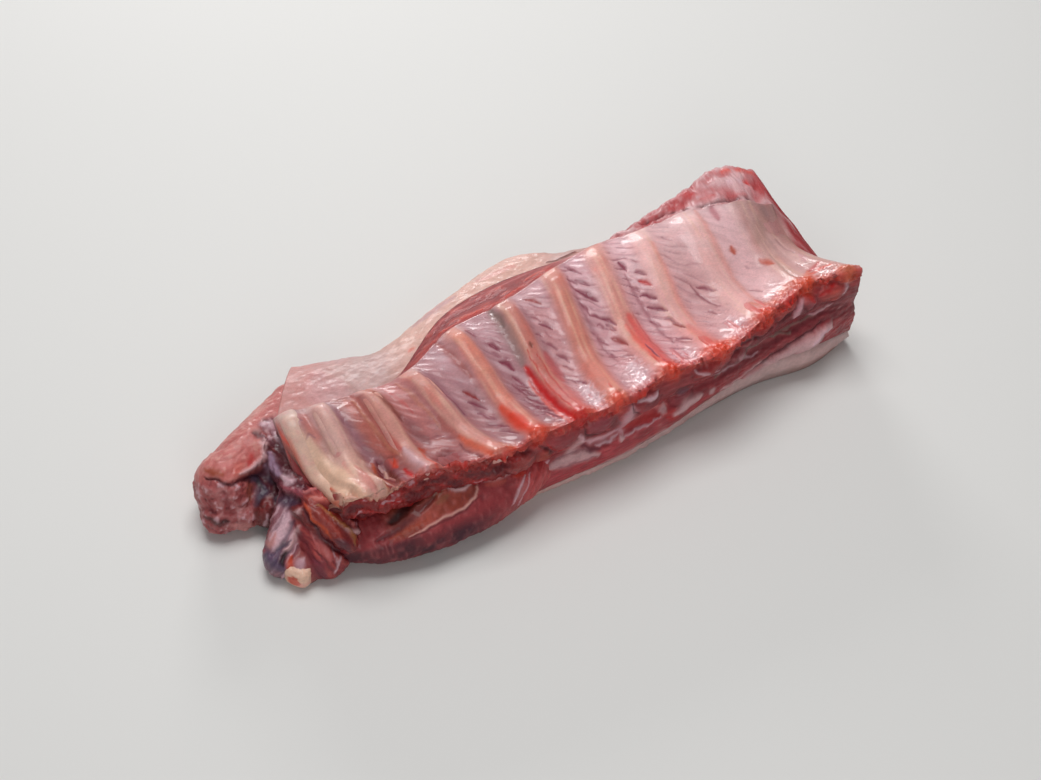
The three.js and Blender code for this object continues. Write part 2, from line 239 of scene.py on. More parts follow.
# ------------------------------------------------------------------ coats: what is painted on a piece
# In the painting functions a wash's last number is its strength. The numbers of rise are where a colour
# starts to show and where it is full, and those of noise are the size of its blobs and its seed.
class Coat:
    """Colour, wetness, fibres and relief of a piece's points, on a chart of them in millimetres.

    The chart is wobbled, so that painted edges are uneven. `place` turns a path's numbers into places on it,
    and `front` fades the paths out where they don't belong.
    """

    def __init__(self, chart, colour, place=None, seed=1, wobble=0.5):
        plane = flat_points(*chart.T)
        shifts = [noise(plane, 4.0, seed + k) + 0.5 * noise(plane, 1.6, seed + k + 20) for k in (0, 1)]
        self.chart = chart + wobble * np.stack(shifts, 1)
        self.place = place
        self.colour = np.tile(np.asarray(colour, float), (len(chart), 1))
        self.relief = np.zeros(len(chart))
        self.front = np.ones(len(chart))
        self.wet = np.full(len(chart), 0.45)
        self.fibre = np.full(len(chart), 0.3)

    def wash(self, colour, mask, strength=1.0):
        """Blends a colour in where the mask says."""
        if isinstance(colour, str):
            colour = COLOURS[colour]
        elif isinstance(colour, tuple):
            colour = tone(*colour)
        share = np.clip(mask * strength, 0, 1)[:, None]
        self.colour = lerp(self.colour, np.asarray(colour), share)

    def path_mask(self, path, width, taper=0.0):
        """1 on a path, fading to 0 at its edges; the path thins out to both its ends by `taper`."""
        points = np.array([self.place(*p) if self.place else p for p in path], float)
        mask = np.zeros(len(self.chart))
        reach = 1.1 * width
        low = points.min(0) - reach
        high = points.max(0) + reach
        near = np.where(((self.chart > low) & (self.chart < high)).all(1))[0]
        if not len(near):
            return mask
        here = self.chart[near]
        best = np.zeros(len(near))
        count = max(1, len(points) - 1)
        for k in range(count):
            start = points[k]
            step = points[min(k + 1, len(points) - 1)] - start
            length = max(1e-6, step @ step)
            t = np.clip((here - start) @ step / length, 0, 1)
            gap = np.linalg.norm(here - (start + t[:, None] * step), axis=1)
            thin = width / 2 * (1 - taper * (2 * (k + t) / count - 1) ** 2)
            best = np.maximum(best, np.exp(-((gap / thin) ** 2.4)))
        mask[near] = best * self.front[near]
        return mask

    def stroke(self, colour, path, width, strength, relief, taper=0.5):
        """Paints a path in a colour, and raises it or presses it in."""
        mask = self.path_mask(path, width, taper)
        self.wash(colour, mask, strength)
        self.relief += relief * mask

    def strokes(self, rows):
        """Paints the rows of a table: colour, width, strength, relief, then the path."""
        for colour, width, strength, relief, *path in rows:
            self.stroke(colour, path, width, strength, relief)

    def spread(self, order):
        """The coat of points that repeat this one's in the given order."""
        copy = Coat.__new__(Coat)
        copy.colour = self.colour[order]
        copy.wet = self.wet[order]
        copy.fibre = self.fibre[order]
        return copy


# ------------------------------------------------------------------ places on the slab
def line_x(u, v):
    """X of line u at share v of the way across, with v from 1 to 2 beyond the ribs' far ends."""
    near = lerp(at(NEAR_X, u), at(FAR_X, u), v) + at(BOW, u) * 4 * v * (1 - v)
    far = lerp(at(FAR_X, u), at(FLAP_X, u), v - 1)
    return np.where(v > 1, far, near)


def share_across(u, y):
    """Share of the way across at y, from 1 to 2 beyond the ribs' far ends."""
    near = at(NEAR_Y, u)
    far = at(FAR_Y, u)
    within = np.maximum(0, (y - near) / (far - near))
    beyond = 1 + (y - far) / (at(FLAP_Y, u) - far)
    return np.where(y < far, within, beyond)


def cage_point(u, v, lift=0.0):
    """Point of the rib cage's inner surface, between the bones."""
    y = lerp(at(NEAR_Y, u), at(FAR_Y, u), v)
    edge = lerp(at(NEAR_Z, u), at(FAR_Z, u), v)
    to_loin = rise(u, *LOIN_LINES)
    share = lerp(along(CURVE_AT, CURVE, v), along(CURVE_AT, LOIN_CURVE, v), to_loin)
    z = edge + at(TROUGH, u) * share + lift
    return np.stack(np.broadcast_arrays(line_x(u, v), y, z), -1)


def through(points, count):
    """Evenly spaced points of a smooth curve through `points`, each (stations, 2), ends included."""
    points = np.stack(points)
    gaps = np.linalg.norm(np.diff(points, axis=0), axis=-1).mean(1)
    stops = np.concatenate([[0], np.cumsum(gaps)])
    where = np.linspace(0, stops[-1], count)
    i = np.clip(np.searchsorted(stops, where, side="right") - 1, 0, len(stops) - 2)
    slopes = np.empty_like(points)
    spans = (stops[2:] - stops[:-2])[:, None, None]
    slopes[1:-1] = (points[2:] - points[:-2]) / spans
    slopes[0] = (points[1] - points[0]) / gaps[0]
    slopes[-1] = (points[-1] - points[-2]) / gaps[-1]
    h = (stops[i + 1] - stops[i])[:, None, None]
    t = (where - stops[i])[:, None, None] / h
    curve = lerp(points[i], points[i + 1], t * t * (3 - 2 * t))
    return curve + slopes[i] * h * t * (1 - t) ** 2 + slopes[i + 1] * h * t * t * (t - 1)


def layer_points(u, steps):
    """Sheet between lean and fat, from the far side to the near one, lowest in the middle."""
    rows = []
    for t in np.linspace(0, 1, steps):
        y = lerp(at(OUTER_Y, u), at(FOOT_Y, u), t)
        end = at(OUTER_Z, u) if t < 0.5 else at(FOOT_Z, u)
        rows.append(np.stack([y, lerp(FAT_MIDDLE_Z, end, (2 * t - 1) ** 2)], -1))
    return np.stack(rows)


def stations(count):
    """Rib numbers of evenly spaced cross-sections along the slab."""
    fine = np.linspace(LINE[0], LINE[-1], 800)
    x = line_x(fine, 0.4)
    return np.interp(np.linspace(x[0], x[-1], count), x, fine)


# ------------------------------------------------------------------ meshes
WELD = 2e-6


def surface_normals(points):
    """Outward normals of a closed loft, rows round the section by stations along it."""
    round_it = np.roll(points, -1, 0) - np.roll(points, 1, 0)
    along_it = np.gradient(points, axis=1)
    normals = np.cross(along_it, round_it)
    return normals / np.maximum(np.linalg.norm(normals, axis=-1, keepdims=True), 1e-9)


def add_attribute(mesh, name, values):
    layer = mesh.attributes.new(name, "FLOAT_COLOR", "POINT")
    layer.data.foreach_set("color", np.ascontiguousarray(values, np.float32).ravel())


def dress(mesh, coat):
    """Writes a coat's colour and finish onto a mesh with the same order of points."""
    full = np.ones((len(coat.colour), 1))
    add_attribute(mesh, "paint", np.concatenate([np.clip(coat.colour, 0, 1), full], axis=1))
    finish = np.stack([coat.wet, coat.fibre, np.zeros(len(coat.wet)), full[:, 0]], 1)
    add_attribute(mesh, "finish", np.clip(finish, 0, 1))


CAP_RELIEF = 1.2  # how far the cut faces at the slab's ends are roughened
CAP_MOTTLES = 9


def cap_ends(points, coat, steps, face):
    """Adds rings at both ends that shrink to the middle of the end's section, painted as its cut face."""
    rows, columns = points.shape[:2]
    order = np.arange(rows * columns).reshape(rows, columns)
    sizes = np.linspace(0, 1, steps + 1)[:-1]
    first = [lerp(points[:, 0].mean(0), points[:, 0], size)[:, None] for size in sizes]
    last = [lerp(points[:, -1].mean(0), points[:, -1], size)[:, None] for size in sizes[::-1]]
    full = np.concatenate([*first, points, *last], 1)
    full_order = np.concatenate([order[:, :1]] * steps + [order] + [order[:, -1:]] * steps, 1)
    capped = coat.spread(full_order.ravel())
    depth = np.concatenate([1 - sizes, np.zeros(columns), 1 - sizes[::-1]])
    inside = rise(np.tile(depth, rows), 0.0, 0.3)
    mottled = rough_noise(full.reshape(-1, 3), CAP_MOTTLES, 47)
    capped.wash(face, inside)
    capped.wash("white_fat", inside * rise(mottled, 0.25, 0.6))
    full[..., 0] += (CAP_RELIEF * inside * mottled).reshape(rows, -1)
    return full, capped


def loft(name, points, coat, caps, face, material, replaced):
    """Closed piece from points (rows round it, stations along it, 3) in the slab's layout."""
    points, coat = cap_ends(points, coat, caps, face)
    rows, columns = points.shape[:2]
    bm = bmesh.new()
    bmesh.ops.create_grid(bm, x_segments=columns - 1, y_segments=rows, size=1)
    mesh = bpy.data.meshes.new(name)
    bm.to_mesh(mesh)
    bm.free()
    grid = read_points(mesh)
    column = np.rint((grid[:, 0] + 1) / 2 * (columns - 1)).astype(int)
    row = np.rint((grid[:, 1] + 1) / 2 * rows).astype(int) % rows
    write_points(mesh, (points[row, column] + SHIFT) * MM)
    dress(mesh, coat.spread(row * columns + column))
    finish_piece(name, mesh, material, replaced)


def finish_piece(name, mesh, material, replaced):
    """Closes the mesh's seams, turns its faces outwards and adds it to the object."""
    write_points(mesh, np.clip(read_points(mesh), *cad_box))
    bm = bmesh.new()
    bm.from_mesh(mesh)
    bmesh.ops.remove_doubles(bm, verts=bm.verts, dist=WELD)
    bmesh.ops.dissolve_degenerate(bm, edges=bm.edges, dist=WELD)
    filled = bmesh.ops.holes_fill(bm, edges=[edge for edge in bm.edges if edge.is_boundary])
    bmesh.ops.triangulate(bm, faces=filled["faces"])
    bmesh.ops.recalc_face_normals(bm, faces=bm.faces)
    if bm.calc_volume(signed=True) < 0:
        bmesh.ops.reverse_faces(bm, faces=bm.faces)
    for face in bm.faces:
        face.smooth = True
    bm.to_mesh(mesh)
    bm.free()
    piece = bpy.data.objects.new(name, mesh)
    bpy.context.scene.collection.objects.link(piece)
    piece.data.materials.append(material)
    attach(piece, "root")
    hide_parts(*replaced)


def finish_ball(name, mesh, points, coat, material, replaced):
    """Finishes a rounded piece from its points in the slab's layout, none of them below the floor."""
    points[:, 2] = np.maximum(points[:, 2], 0)
    write_points(mesh, (points + SHIFT) * MM)
    dress(mesh, coat)
    finish_piece(name, mesh, material, replaced)


def ball_mesh(name, segments, rings):
    bm = bmesh.new()
    bmesh.ops.create_uvsphere(bm, u_segments=segments, v_segments=rings, radius=1)
    mesh = bpy.data.meshes.new(name)
    bm.to_mesh(mesh)
    bm.free()
    return mesh


def read_points(mesh):
    values = np.empty(len(mesh.vertices) * 3, np.float32)
    mesh.vertices.foreach_get("co", values)
    return values.reshape(-1, 3).astype(float)


def write_points(mesh, points):
    mesh.vertices.foreach_set("co", np.asarray(points, np.float32).ravel())
    mesh.update()


def read_normals(mesh):
    values = np.empty(len(mesh.vertices) * 3, np.float32)
    mesh.vertex_normals.foreach_get("vector", values)
    return values.reshape(-1, 3).astype(float)


# ------------------------------------------------------------------ materials
def add_node(tree, kind):
    return tree.nodes.new("ShaderNode" + kind)


def noise_pattern(tree, place, scale, detail, stretch=(1, 1, 1)):
    mapping = add_node(tree, "Mapping")
    mapping.inputs["Scale"].default_value = stretch
    texture = add_node(tree, "TexNoise")
    texture.inputs["Scale"].default_value = scale
    texture.inputs["Detail"].default_value = detail
    tree.links.new(place, mapping.inputs["Vector"])
    tree.links.new(mapping.outputs["Vector"], texture.inputs["Vector"])
    return texture.outputs["Fac"]


def between(tree, value, low, high, from_low=0.3, from_high=0.7):
    """Carries a socket's value over to the range from low to high."""
    node = add_node(tree, "MapRange")
    node.inputs["From Min"].default_value = from_low
    node.inputs["From Max"].default_value = from_high
    node.inputs["To Min"].default_value = low
    node.inputs["To Max"].default_value = high
    tree.links.new(value, node.inputs["Value"])
    return node.outputs["Result"]


def combine(tree, kind, a, b):
    """Sum or product of two sockets, or of a socket and a number."""
    node = add_node(tree, "Math")
    node.operation = kind
    for socket, value in zip(node.inputs, (a, b)):
        if isinstance(value, float):
            socket.default_value = value
        else:
            tree.links.new(value, socket)
    return node.outputs[0]


def attribute(tree, name):
    node = add_node(tree, "Attribute")
    node.attribute_name = name
    return node.outputs["Color"]


def tinted_paint(tree, light, tint):
    """The painted colour, made lighter and darker by a pattern, and tinted."""
    grey = add_node(tree, "CombineColor")
    for channel, share in zip(grey.inputs, tint):
        tree.links.new(combine(tree, "MULTIPLY", light, share), channel)
    coloured = add_node(tree, "Mix")
    coloured.data_type = "RGBA"
    coloured.blend_type = "MULTIPLY"
    coloured.inputs["Factor"].default_value = 1.0
    tree.links.new(attribute(tree, "paint"), coloured.inputs["A"])
    tree.links.new(grey.outputs["Color"], coloured.inputs["B"])
    return coloured.outputs["Result"]


def bumps(tree, height, depth):
    relief = add_node(tree, "Bump")
    relief.inputs["Strength"].default_value = BUMP_STRENGTH
    relief.inputs["Distance"].default_value = depth
    tree.links.new(height, relief.inputs["Height"])
    return relief.outputs["Normal"]


BLOTCHES = 150
FINER = 2.7
BUMP_STRENGTH = 0.6
SPREAD = 0.16  # how much rougher dry tissue is than wet, each way from the middle


def wet_tissue(name, tint, subsurface, roughness, coat, bump_depth, grain):
    """Moist tissue: painted colour, broken up by mottling and fibres, with a wet film over it."""
    material = bpy.data.materials.new(name)
    material.use_nodes = True
    tree = material.node_tree
    shader = tree.nodes["Principled BSDF"]
    place = add_node(tree, "TexCoord").outputs["Object"]
    finish = add_node(tree, "SeparateColor")
    tree.links.new(attribute(tree, "finish"), finish.inputs["Color"])
    wetness = finish.outputs["Red"]
    fibres = finish.outputs["Green"]
    blotches = noise_pattern(tree, place, BLOTCHES, 3)
    speckle = noise_pattern(tree, place, grain, 4, (1, 1.6, 1))
    fine = noise_pattern(tree, place, grain * FINER, 3)
    light = combine(tree, "MULTIPLY", between(tree, blotches, 0.92, 1.08), between(tree, speckle, 0.92, 1.08))
    dry = between(tree, wetness, roughness + SPREAD, roughness - SPREAD, 0.0, 1.0)
    rough = combine(tree, "ADD", dry, between(tree, speckle, -0.05, 0.07))
    film = between(tree, wetness, coat * 0.4, coat * 1.6, 0.2, 0.9)
    height = combine(tree, "ADD", combine(tree, "MULTIPLY", speckle, fibres), fine)
    tree.links.new(tinted_paint(tree, light, tint), shader.inputs["Base Color"])
    tree.links.new(rough, shader.inputs["Roughness"])
    tree.links.new(film, shader.inputs["Coat Weight"])
    tree.links.new(bumps(tree, height, bump_depth), shader.inputs["Normal"])
    shader.inputs["Subsurface Weight"].default_value = subsurface
    shader.inputs["Subsurface Radius"].default_value = (1.0, 0.35, 0.25)
    shader.inputs["Subsurface Scale"].default_value = 0.0022
    shader.inputs["Coat Roughness"].default_value = 0.1
    shader.inputs["Specular IOR Level"].default_value = 0.34
    return material


# The tints make up for the pale studio round the object.
RIB_SIDE = wet_tissue("membrane_over_ribs", (1.05, 0.87, 0.88), 0.05, 0.36, 0.34, 0.0004, 700)
LEAN = wet_tissue("lean_muscle", (1.0, 0.72, 0.76), 0.03, 0.42, 0.2, 0.0005, 800)
FAT = wet_tissue("soft_fat", (0.92, 0.8, 0.8), 0.12, 0.44, 0.16, 0.0003, 500)
BONE = wet_tissue("moist_bone", (1.05, 0.86, 0.9), 0.08, 0.38, 0.2, 0.0002, 900)

# ------------------------------------------------------------------ the slab: rib side, far step, near cut
SLAB_STATIONS = 560
TOP_ROWS = 150
FAR_ROWS = 26
LAYER_ROWS = 6
CUT_ROWS = 72
BENEATH_ROWS = 6
CAP_STEPS = 7

# Ribs under the membrane: colour at the far end, colour at the near end, half widths at both.
RIB_BANDS = [
    ((196, 178, 164), (222, 196, 166), 4.0, 7.0),
    ((204, 170, 160), (214, 190, 176), 5.0, 7.0),
    ((204, 148, 132), (200, 160, 152), 3.0, 6.0),
    ((206, 152, 138), (206, 160, 148), 4.0, 6.0),
    ((216, 150, 124), (204, 128, 112), 4.0, 7.0),
    ((184, 130, 114), (202, 102, 88), 4.5, 6.0),
    ((198, 136, 114), (210, 132, 112), 6.5, 6.5),
    ((212, 158, 142), (212, 150, 136), 7.0, 6.0),
    ((234, 206, 200), (224, 152, 142), 6.5, 6.5),
    ((240, 218, 214), (234, 184, 172), 6.0, 6.0),
    ((176, 146, 138), (202, 166, 160), 8.0, 5.0),
    ((156, 126, 122), (206, 160, 150), 6.0, 5.0),
]
# Muscle between them, from before the first rib on: colour at the far end, colour at the near end.
BETWEEN = [
    ((170, 130, 124), (150, 90, 84)),
    ((172, 132, 130), (206, 178, 164)),
    ((156, 104, 94), (146, 84, 78)),
    ((186, 120, 114), (170, 120, 118)),
    ((176, 140, 146), (160, 118, 120)),
    ((178, 140, 146), (150, 108, 114)),
    ((188, 152, 156), (200, 152, 152)),
    ((196, 158, 166), (204, 164, 168)),
    ((218, 186, 190), (206, 154, 160)),
    ((212, 182, 182), (206, 160, 160)),
    ((228, 202, 204), (216, 178, 178)),
    ((164, 142, 138), (208, 172, 168)),
    ((150, 122, 120), (206, 170, 166)),
]

# Dark slits between the muscle's strands: colour, width, strength, (rib number, share across) from and to.
BARBS = [
    ("brown_mark", 2.7, 1.00, (4.47, 0.61), (4.65, 0.5)),
    ("mark", 2.4, 0.90, (4.42, 0.55), (4.67, 0.43)),
    ("mark", 2.0, 0.70, (4.45, 0.46), (4.66, 0.33)),
    ("mark", 2.0, 0.70, (4.46, 0.36), (4.68, 0.22)),
    ("mark", 1.8, 0.65, (4.48, 0.26), (4.7, 0.12)),
    ("mark", 3.2, 0.70, (5.18, 0.91), (5.28, 0.83)),
    ("mark", 3.2, 1.00, (5.36, 0.76), (5.5, 0.68)),
    ("mark", 3.4, 1.00, (5.36, 0.63), (5.56, 0.54)),
    ("mark", 2.0, 0.60, (5.33, 0.7), (5.45, 0.64)),
    ("mark", 2.2, 0.90, (5.42, 0.52), (5.6, 0.42)),
    ("mark", 2.2, 0.90, (5.44, 0.44), (5.62, 0.33)),
    ("mark", 2.2, 0.85, (5.46, 0.36), (5.63, 0.24)),
    ("mark", 2.2, 0.80, (5.47, 0.28), (5.63, 0.16)),
    ("mark", 2.0, 0.80, (5.48, 0.2), (5.62, 0.07)),
    ("mark", 1.7, 0.60, (5.36, 0.48), (5.5, 0.36)),
    ("mark", 1.7, 0.60, (5.38, 0.36), (5.5, 0.22)),
    ("brown_mark", 4.1, 1.00, (6.35, 0.925), (6.59, 0.815)),
    ("mark", 2.9, 0.95, (6.38, 0.72), (6.6, 0.64)),
    ("mark", 2.0, 0.60, (6.3, 0.78), (6.45, 0.72)),
    ("mark", 2.0, 0.60, (6.22, 0.67), (6.34, 0.64)),
    ("mark", 2.1, 0.70, (6.34, 0.6), (6.54, 0.53)),
    ("mark", 2.2, 0.75, (6.44, 0.52), (6.64, 0.44)),
    ("mark", 2.0, 0.70, (6.46, 0.44), (6.62, 0.38)),
    ("mark", 2.4, 0.80, (6.52, 0.32), (6.68, 0.25)),
    ("mark", 1.8, 0.60, (6.4, 0.36), (6.55, 0.28)),
    ("mark", 2.2, 0.70, (7.3, 0.97), (7.45, 0.9)),
    ("mark", 2.9, 0.90, (7.36, 0.94), (7.58, 0.84)),
    ("mark", 2.4, 0.80, (7.26, 0.86), (7.42, 0.79)),
    ("mark", 2.7, 0.80, (7.4, 0.83), (7.62, 0.75)),
    ("mark", 4.4, 1.00, (7.3, 0.78), (7.68, 0.64)),
    ("mark", 2.2, 0.80, (7.3, 0.7), (7.42, 0.6)),
    ("mark", 2.2, 0.90, (7.4, 0.61), (7.62, 0.55)),
    ("mark", 2.9, 1.00, (7.6, 0.56), (7.82, 0.475)),
    ("mark", 1.8, 0.70, (7.45, 0.54), (7.62, 0.5)),
    ("mark", 2.0, 0.70, (7.64, 0.52), (7.76, 0.45)),
    ("brown_mark", 3.9, 1.00, (7.64, 0.44), (7.83, 0.33)),
    ("mark", 2.0, 0.70, (7.35, 0.48), (7.52, 0.4)),
    ("mark", 2.0, 0.70, (7.4, 0.38), (7.55, 0.3)),
    ("mark", 1.8, 0.60, (7.6, 0.3), (7.8, 0.24)),
    ("mark", 4.4, 1.00, (8.38, 0.82), (8.46, 0.74)),
    ("mark", 2.4, 0.85, (8.58, 0.72), (8.8, 0.675)),
    ("red", 2.9, 1.00, (8.6, 0.665), (8.79, 0.61)),
    ("mark", 2.7, 1.00, (8.5, 0.59), (8.79, 0.535)),
    ("mark", 2.7, 1.00, (8.55, 0.515), (8.86, 0.455)),
    ("mark", 2.2, 0.80, (8.74, 0.43), (8.9, 0.36)),
    ("brown_mark", 2.7, 0.90, (8.82, 0.38), (8.95, 0.3)),
    ("mark", 2.2, 0.80, (8.68, 0.28), (8.85, 0.2)),
    ("mark", 2.2, 0.70, (8.5, 0.44), (8.62, 0.38)),
    ("mark", 2.0, 0.70, (8.45, 0.63), (8.55, 0.6)),
    ("mark", 2.2, 0.85, (9.55, 0.51), (9.86, 0.41)),
    ("mark", 2.0, 0.70, (9.5, 0.34), (9.6, 0.28)),
    ("mark", 2.0, 0.55, (10.3, 0.3), (10.45, 0.22)),
]
BARB_BEND = 0.012
BARB_DEPTH = 0.6
BARB_SLIM = 0.85
BARB_TAPER = 0.85

# Marks on the rib side: colour, width, strength, relief, then the path as (rib number, share across).
STEMS = [
    ("mark", 5, 0.25, -0.2, (5.4, 0.5), (5.5, 0.3), (5.55, 0.05)),
    ("grey_purple", 4, 0.35, -0.2, (6.25, 0.9), (6.24, 0.7), (6.3, 0.5), (6.38, 0.35)),
    ("mark", 3.2, 0.4, -0.3, (7.28, 0.88), (7.28, 0.75), (7.32, 0.6), (7.4, 0.42), (7.5, 0.28)),
    ("mark", 3, 0.5, -0.3, (8.4, 0.72), (8.44, 0.6), (8.5, 0.48), (8.55, 0.36), (8.6, 0.25)),
    ("mark", 2, 0.7, -0.3, (9.47, 0.53), (9.56, 0.43), (9.72, 0.32)),
]
FIRST_RIB_MARKS = [
    ((150, 118, 126), 6.5, 0.75, 0, (1.16, 1.0), (1.17, 0.85), (1.2, 0.7)),
    ((185, 110, 100), 12, 0.6, 0, (1.44, 0.87), (1.46, 0.77), (1.52, 0.67)),
    ("grey_purple", 1.6, 0.8, -0.3, (1.03, 0.79), (1.16, 0.815), (1.3, 0.8)),
    ("grey_purple", 1.6, 0.8, -0.3, (1.15, 0.66), (1.3, 0.685), (1.45, 0.66)),
    ("cream", 9, 0.7, 0, (1.75, 0.52), (2.0, 0.46), (2.2, 0.42)),
    ("ivory", 14, 0.6, 0.6, (1.5, 0.3), (1.8, 0.3), (2.1, 0.34)),
    ("cream", 12, 0.6, 0.4, (1.5, 0.12), (1.75, 0.12), (1.95, 0.2)),
    ("pink", 4, 0.6, -0.2, (2.0, 0.35), (1.8, 0.16), (1.6, 0.0)),
    ("red", 1.6, 0.35, 0, (2.06, 0.33), (1.9, 0.16), (1.72, 0.02)),
    ("pink", 3, 0.5, 0, (1.82, 0.42), (1.6, 0.22), (1.45, 0.04)),
    ("cream", 3, 0.9, 0.5, (2.25, 0.42), (2.12, 0.25), (2.0, 0.1)),
    ("ivory", 2, 0.9, 0.4, (2.2, 0.3), (2.06, 0.14), (1.95, 0.0)),
    ("cream", 4, 0.5, 0, (1.95, 0.95), (2.0, 0.7), (2.1, 0.5)),
    ("white_fat", 3, 0.5, 0.2, (1.62, 0.98), (1.66, 0.8), (1.8, 0.6)),
]
RIB_2_TO_4_MARKS = [
    # The first two grey-purple strokes are painted shade in the valley between the second and third ribs.
    ("grey_purple", 5, 0.75, -0.4, (2.3, 1.0), (2.3, 0.72)),
    ("grey_purple", 6.5, 0.8, -0.5, (2.36, 0.74), (2.4, 0.6), (2.46, 0.45), (2.58, 0.38)),
    ((180, 100, 85), 8, 0.7, 0, (2.6, 0.95), (2.62, 0.75), (2.68, 0.55), (2.8, 0.4)),
    ("brown_pink", 3, 0.7, -0.3, (2.76, 0.98), (2.78, 0.7), (2.86, 0.5)),
    ("red", 3, 0.6, 0, (2.82, 0.6), (2.88, 0.45), (2.92, 0.36)),
    ("tan", 2, 0.6, 0.3, (2.68, 0.9), (2.72, 0.6), (2.84, 0.36)),
    ("rust", 5.5, 0.85, -0.4, (3.1, 1.0), (3.1, 0.84)),
    ("brown", 4.5, 0.7, -0.5, (3.14, 0.88), (3.18, 0.74), (3.24, 0.62)),
    ((140, 90, 92), 6, 0.75, -0.5, (3.28, 0.64), (3.34, 0.52), (3.42, 0.42)),
    ((185, 120, 115), 12, 0.6, 0, (3.55, 0.96), (3.55, 0.8), (3.6, 0.62)),
    ("red", 2, 0.4, 0, (3.42, 0.96), (3.44, 0.8), (3.5, 0.64)),
    ("tan", 2, 0.5, 0.2, (3.7, 0.95), (3.7, 0.75), (3.74, 0.5)),
    ("dark_lean", 5, 0.8, -0.8, (2.5, 0.4), (2.44, 0.3), (2.3, 0.18), (2.1, 0.04)),
    ("rust", 3, 0.9, 0.5, (2.4, 0.4), (2.3, 0.26), (2.16, 0.14), (2.0, 0.0)),
    ("cream", 2, 0.8, 0.6, (2.56, 0.36), (2.46, 0.24), (2.34, 0.1), (2.24, 0.0)),
    ("brown", 2.5, 0.8, -0.4, (2.62, 0.36), (2.54, 0.24), (2.46, 0.1), (2.4, 0.0)),
    ("grey_purple", 2.5, 0.7, 0.3, (2.66, 0.3), (2.58, 0.14), (2.54, 0.0)),
    ("orange_red", 3.4, 0.8, 0.3, (2.74, 0.36), (2.68, 0.26)),
    ("blood", 3, 0.9, -0.2, (2.72, 0.2), (2.7, 0.1), (2.68, 0.0)),
    ((200, 175, 180), 5, 0.85, 0.6, (2.95, 0.36), (2.92, 0.2), (2.9, 0.02)),
    ("orange_red", 3, 0.6, 0, (3.14, 0.28), (3.1, 0.14), (3.06, 0.0)),
    ((190, 70, 30), 4.5, 0.85, 0.2, (3.2, 0.36), (3.2, 0.3)),
    ((90, 40, 45), 7, 0.85, -1.0, (3.38, 0.22), (3.35, 0.1), (3.33, 0.0)),
    ((176, 126, 130), 7, 0.7, 0, (3.62, 0.22), (3.6, 0.1), (3.58, 0.0)),
    ("dark_lean", 2, 0.6, -0.3, (3.74, 0.3), (3.72, 0.1), (3.72, 0.0)),
    ((215, 110, 80), 4.5, 0.85, 0, (3.84, 0.36), (3.84, 0.18), (3.84, 0.0)),
    ("brown_pink", 3, 0.6, 0, (3.8, 0.55), (3.83, 0.35)),
    ((185, 105, 70), 8, 0.75, 0, (4.2, 0.12), (4.2, 0.0)),
]
RIB_4_TO_6_MARKS = [
    ((150, 110, 120), 7, 0.8, -0.5, (4.2, 0.92), (4.2, 0.75), (4.24, 0.5)),
    ("mark", 1.4, 0.6, -0.3, (4.12, 0.9), (4.16, 0.7), (4.24, 0.5)),
    ("grey_purple", 4, 0.4, 0, (4.5, 0.5), (4.6, 0.25), (4.62, 0.0)),
    # Brown-red stroke along the fifth rib's shadow side: painted shade.
    ((160, 95, 90), 4.5, 0.8, -0.4, (4.72, 1.0), (4.72, 0.84), (4.76, 0.64)),
    ("orange_red", 7, 0.8, 0, (4.86, 0.36), (4.87, 0.2), (4.88, 0.06)),
    ((208, 56, 30), 7, 0.9, 0, (4.87, 0.27), (4.88, 0.12)),
    ("brown_pink", 10, 0.6, 0.4, (5.08, 0.08), (5.3, 0.04), (5.42, 0.05)),
    # The two grey strokes left of the sixth rib's far end are painted shade in the deeper valley there.
    ((130, 115, 108), 8, 0.6, -0.6, (5.77, 1.0), (5.77, 0.8), (5.74, 0.55)),
    ((106, 94, 88), 4, 0.55, -0.4, (5.79, 1.0), (5.79, 0.82)),
    ("blood", 5.4, 0.98, -0.5, (5.76, 0.53), (5.77, 0.36), (5.76, 0.18), (5.76, 0.0)),
    ("orange_red", 2, 0.6, 0.2, (5.66, 0.45), (5.66, 0.2), (5.64, 0.0)),
    ("brown", 2.8, 0.9, -0.3, (6.02, 0.63), (6.02, 0.6)),
    ("blood", 1.2, 0.75, 0, (5.9, 0.6), (5.9, 0.35), (5.92, 0.08)),
    ("blood", 1.0, 0.6, 0, (6.05, 0.55), (6.05, 0.3), (6.04, 0.05)),
    ((195, 70, 70), 7, 0.6, 0, (6.24, 0.54), (6.24, 0.45), (6.26, 0.36)),
    ((205, 115, 110), 8, 0.6, 0, (6.22, 0.3), (6.22, 0.15), (6.22, 0.0)),
    ("brown_pink", 2, 0.5, 0, (6.12, 0.95), (6.14, 0.75), (6.16, 0.6)),
]
# Its silver strokes are painted highlights on the wet skin near the near edge.
RIB_6_TO_8_MARKS = [
    ("silver", 9, 0.6, 0, (6.58, 0.24), (6.56, 0.12), (6.55, 0.03)),
    ("cream", 8, 0.6, 0, (7.0, 0.1), (7.0, 0.0)),
    ("silver", 10, 0.6, 0, (7.66, 0.2), (7.62, 0.1), (7.6, 0.04)),
    ((215, 85, 80), 9, 0.75, 0, (8.12, 0.48), (8.14, 0.3), (8.16, 0.02)),
    ("orange_red", 4, 0.6, 0, (7.98, 0.44), (8.02, 0.2), (8.04, 0.0)),
    ((84, 40, 84), 1.3, 0.85, -0.3, (8.08, 0.28), (8.1, 0.2), (8.09, 0.14)),
    ((176, 20, 50), 3, 0.85, 0, (8.12, 0.11), (8.12, 0.0)),
    ("red", 1.2, 0.5, 0, (8.22, 0.5), (8.24, 0.3), (8.26, 0.1)),
]
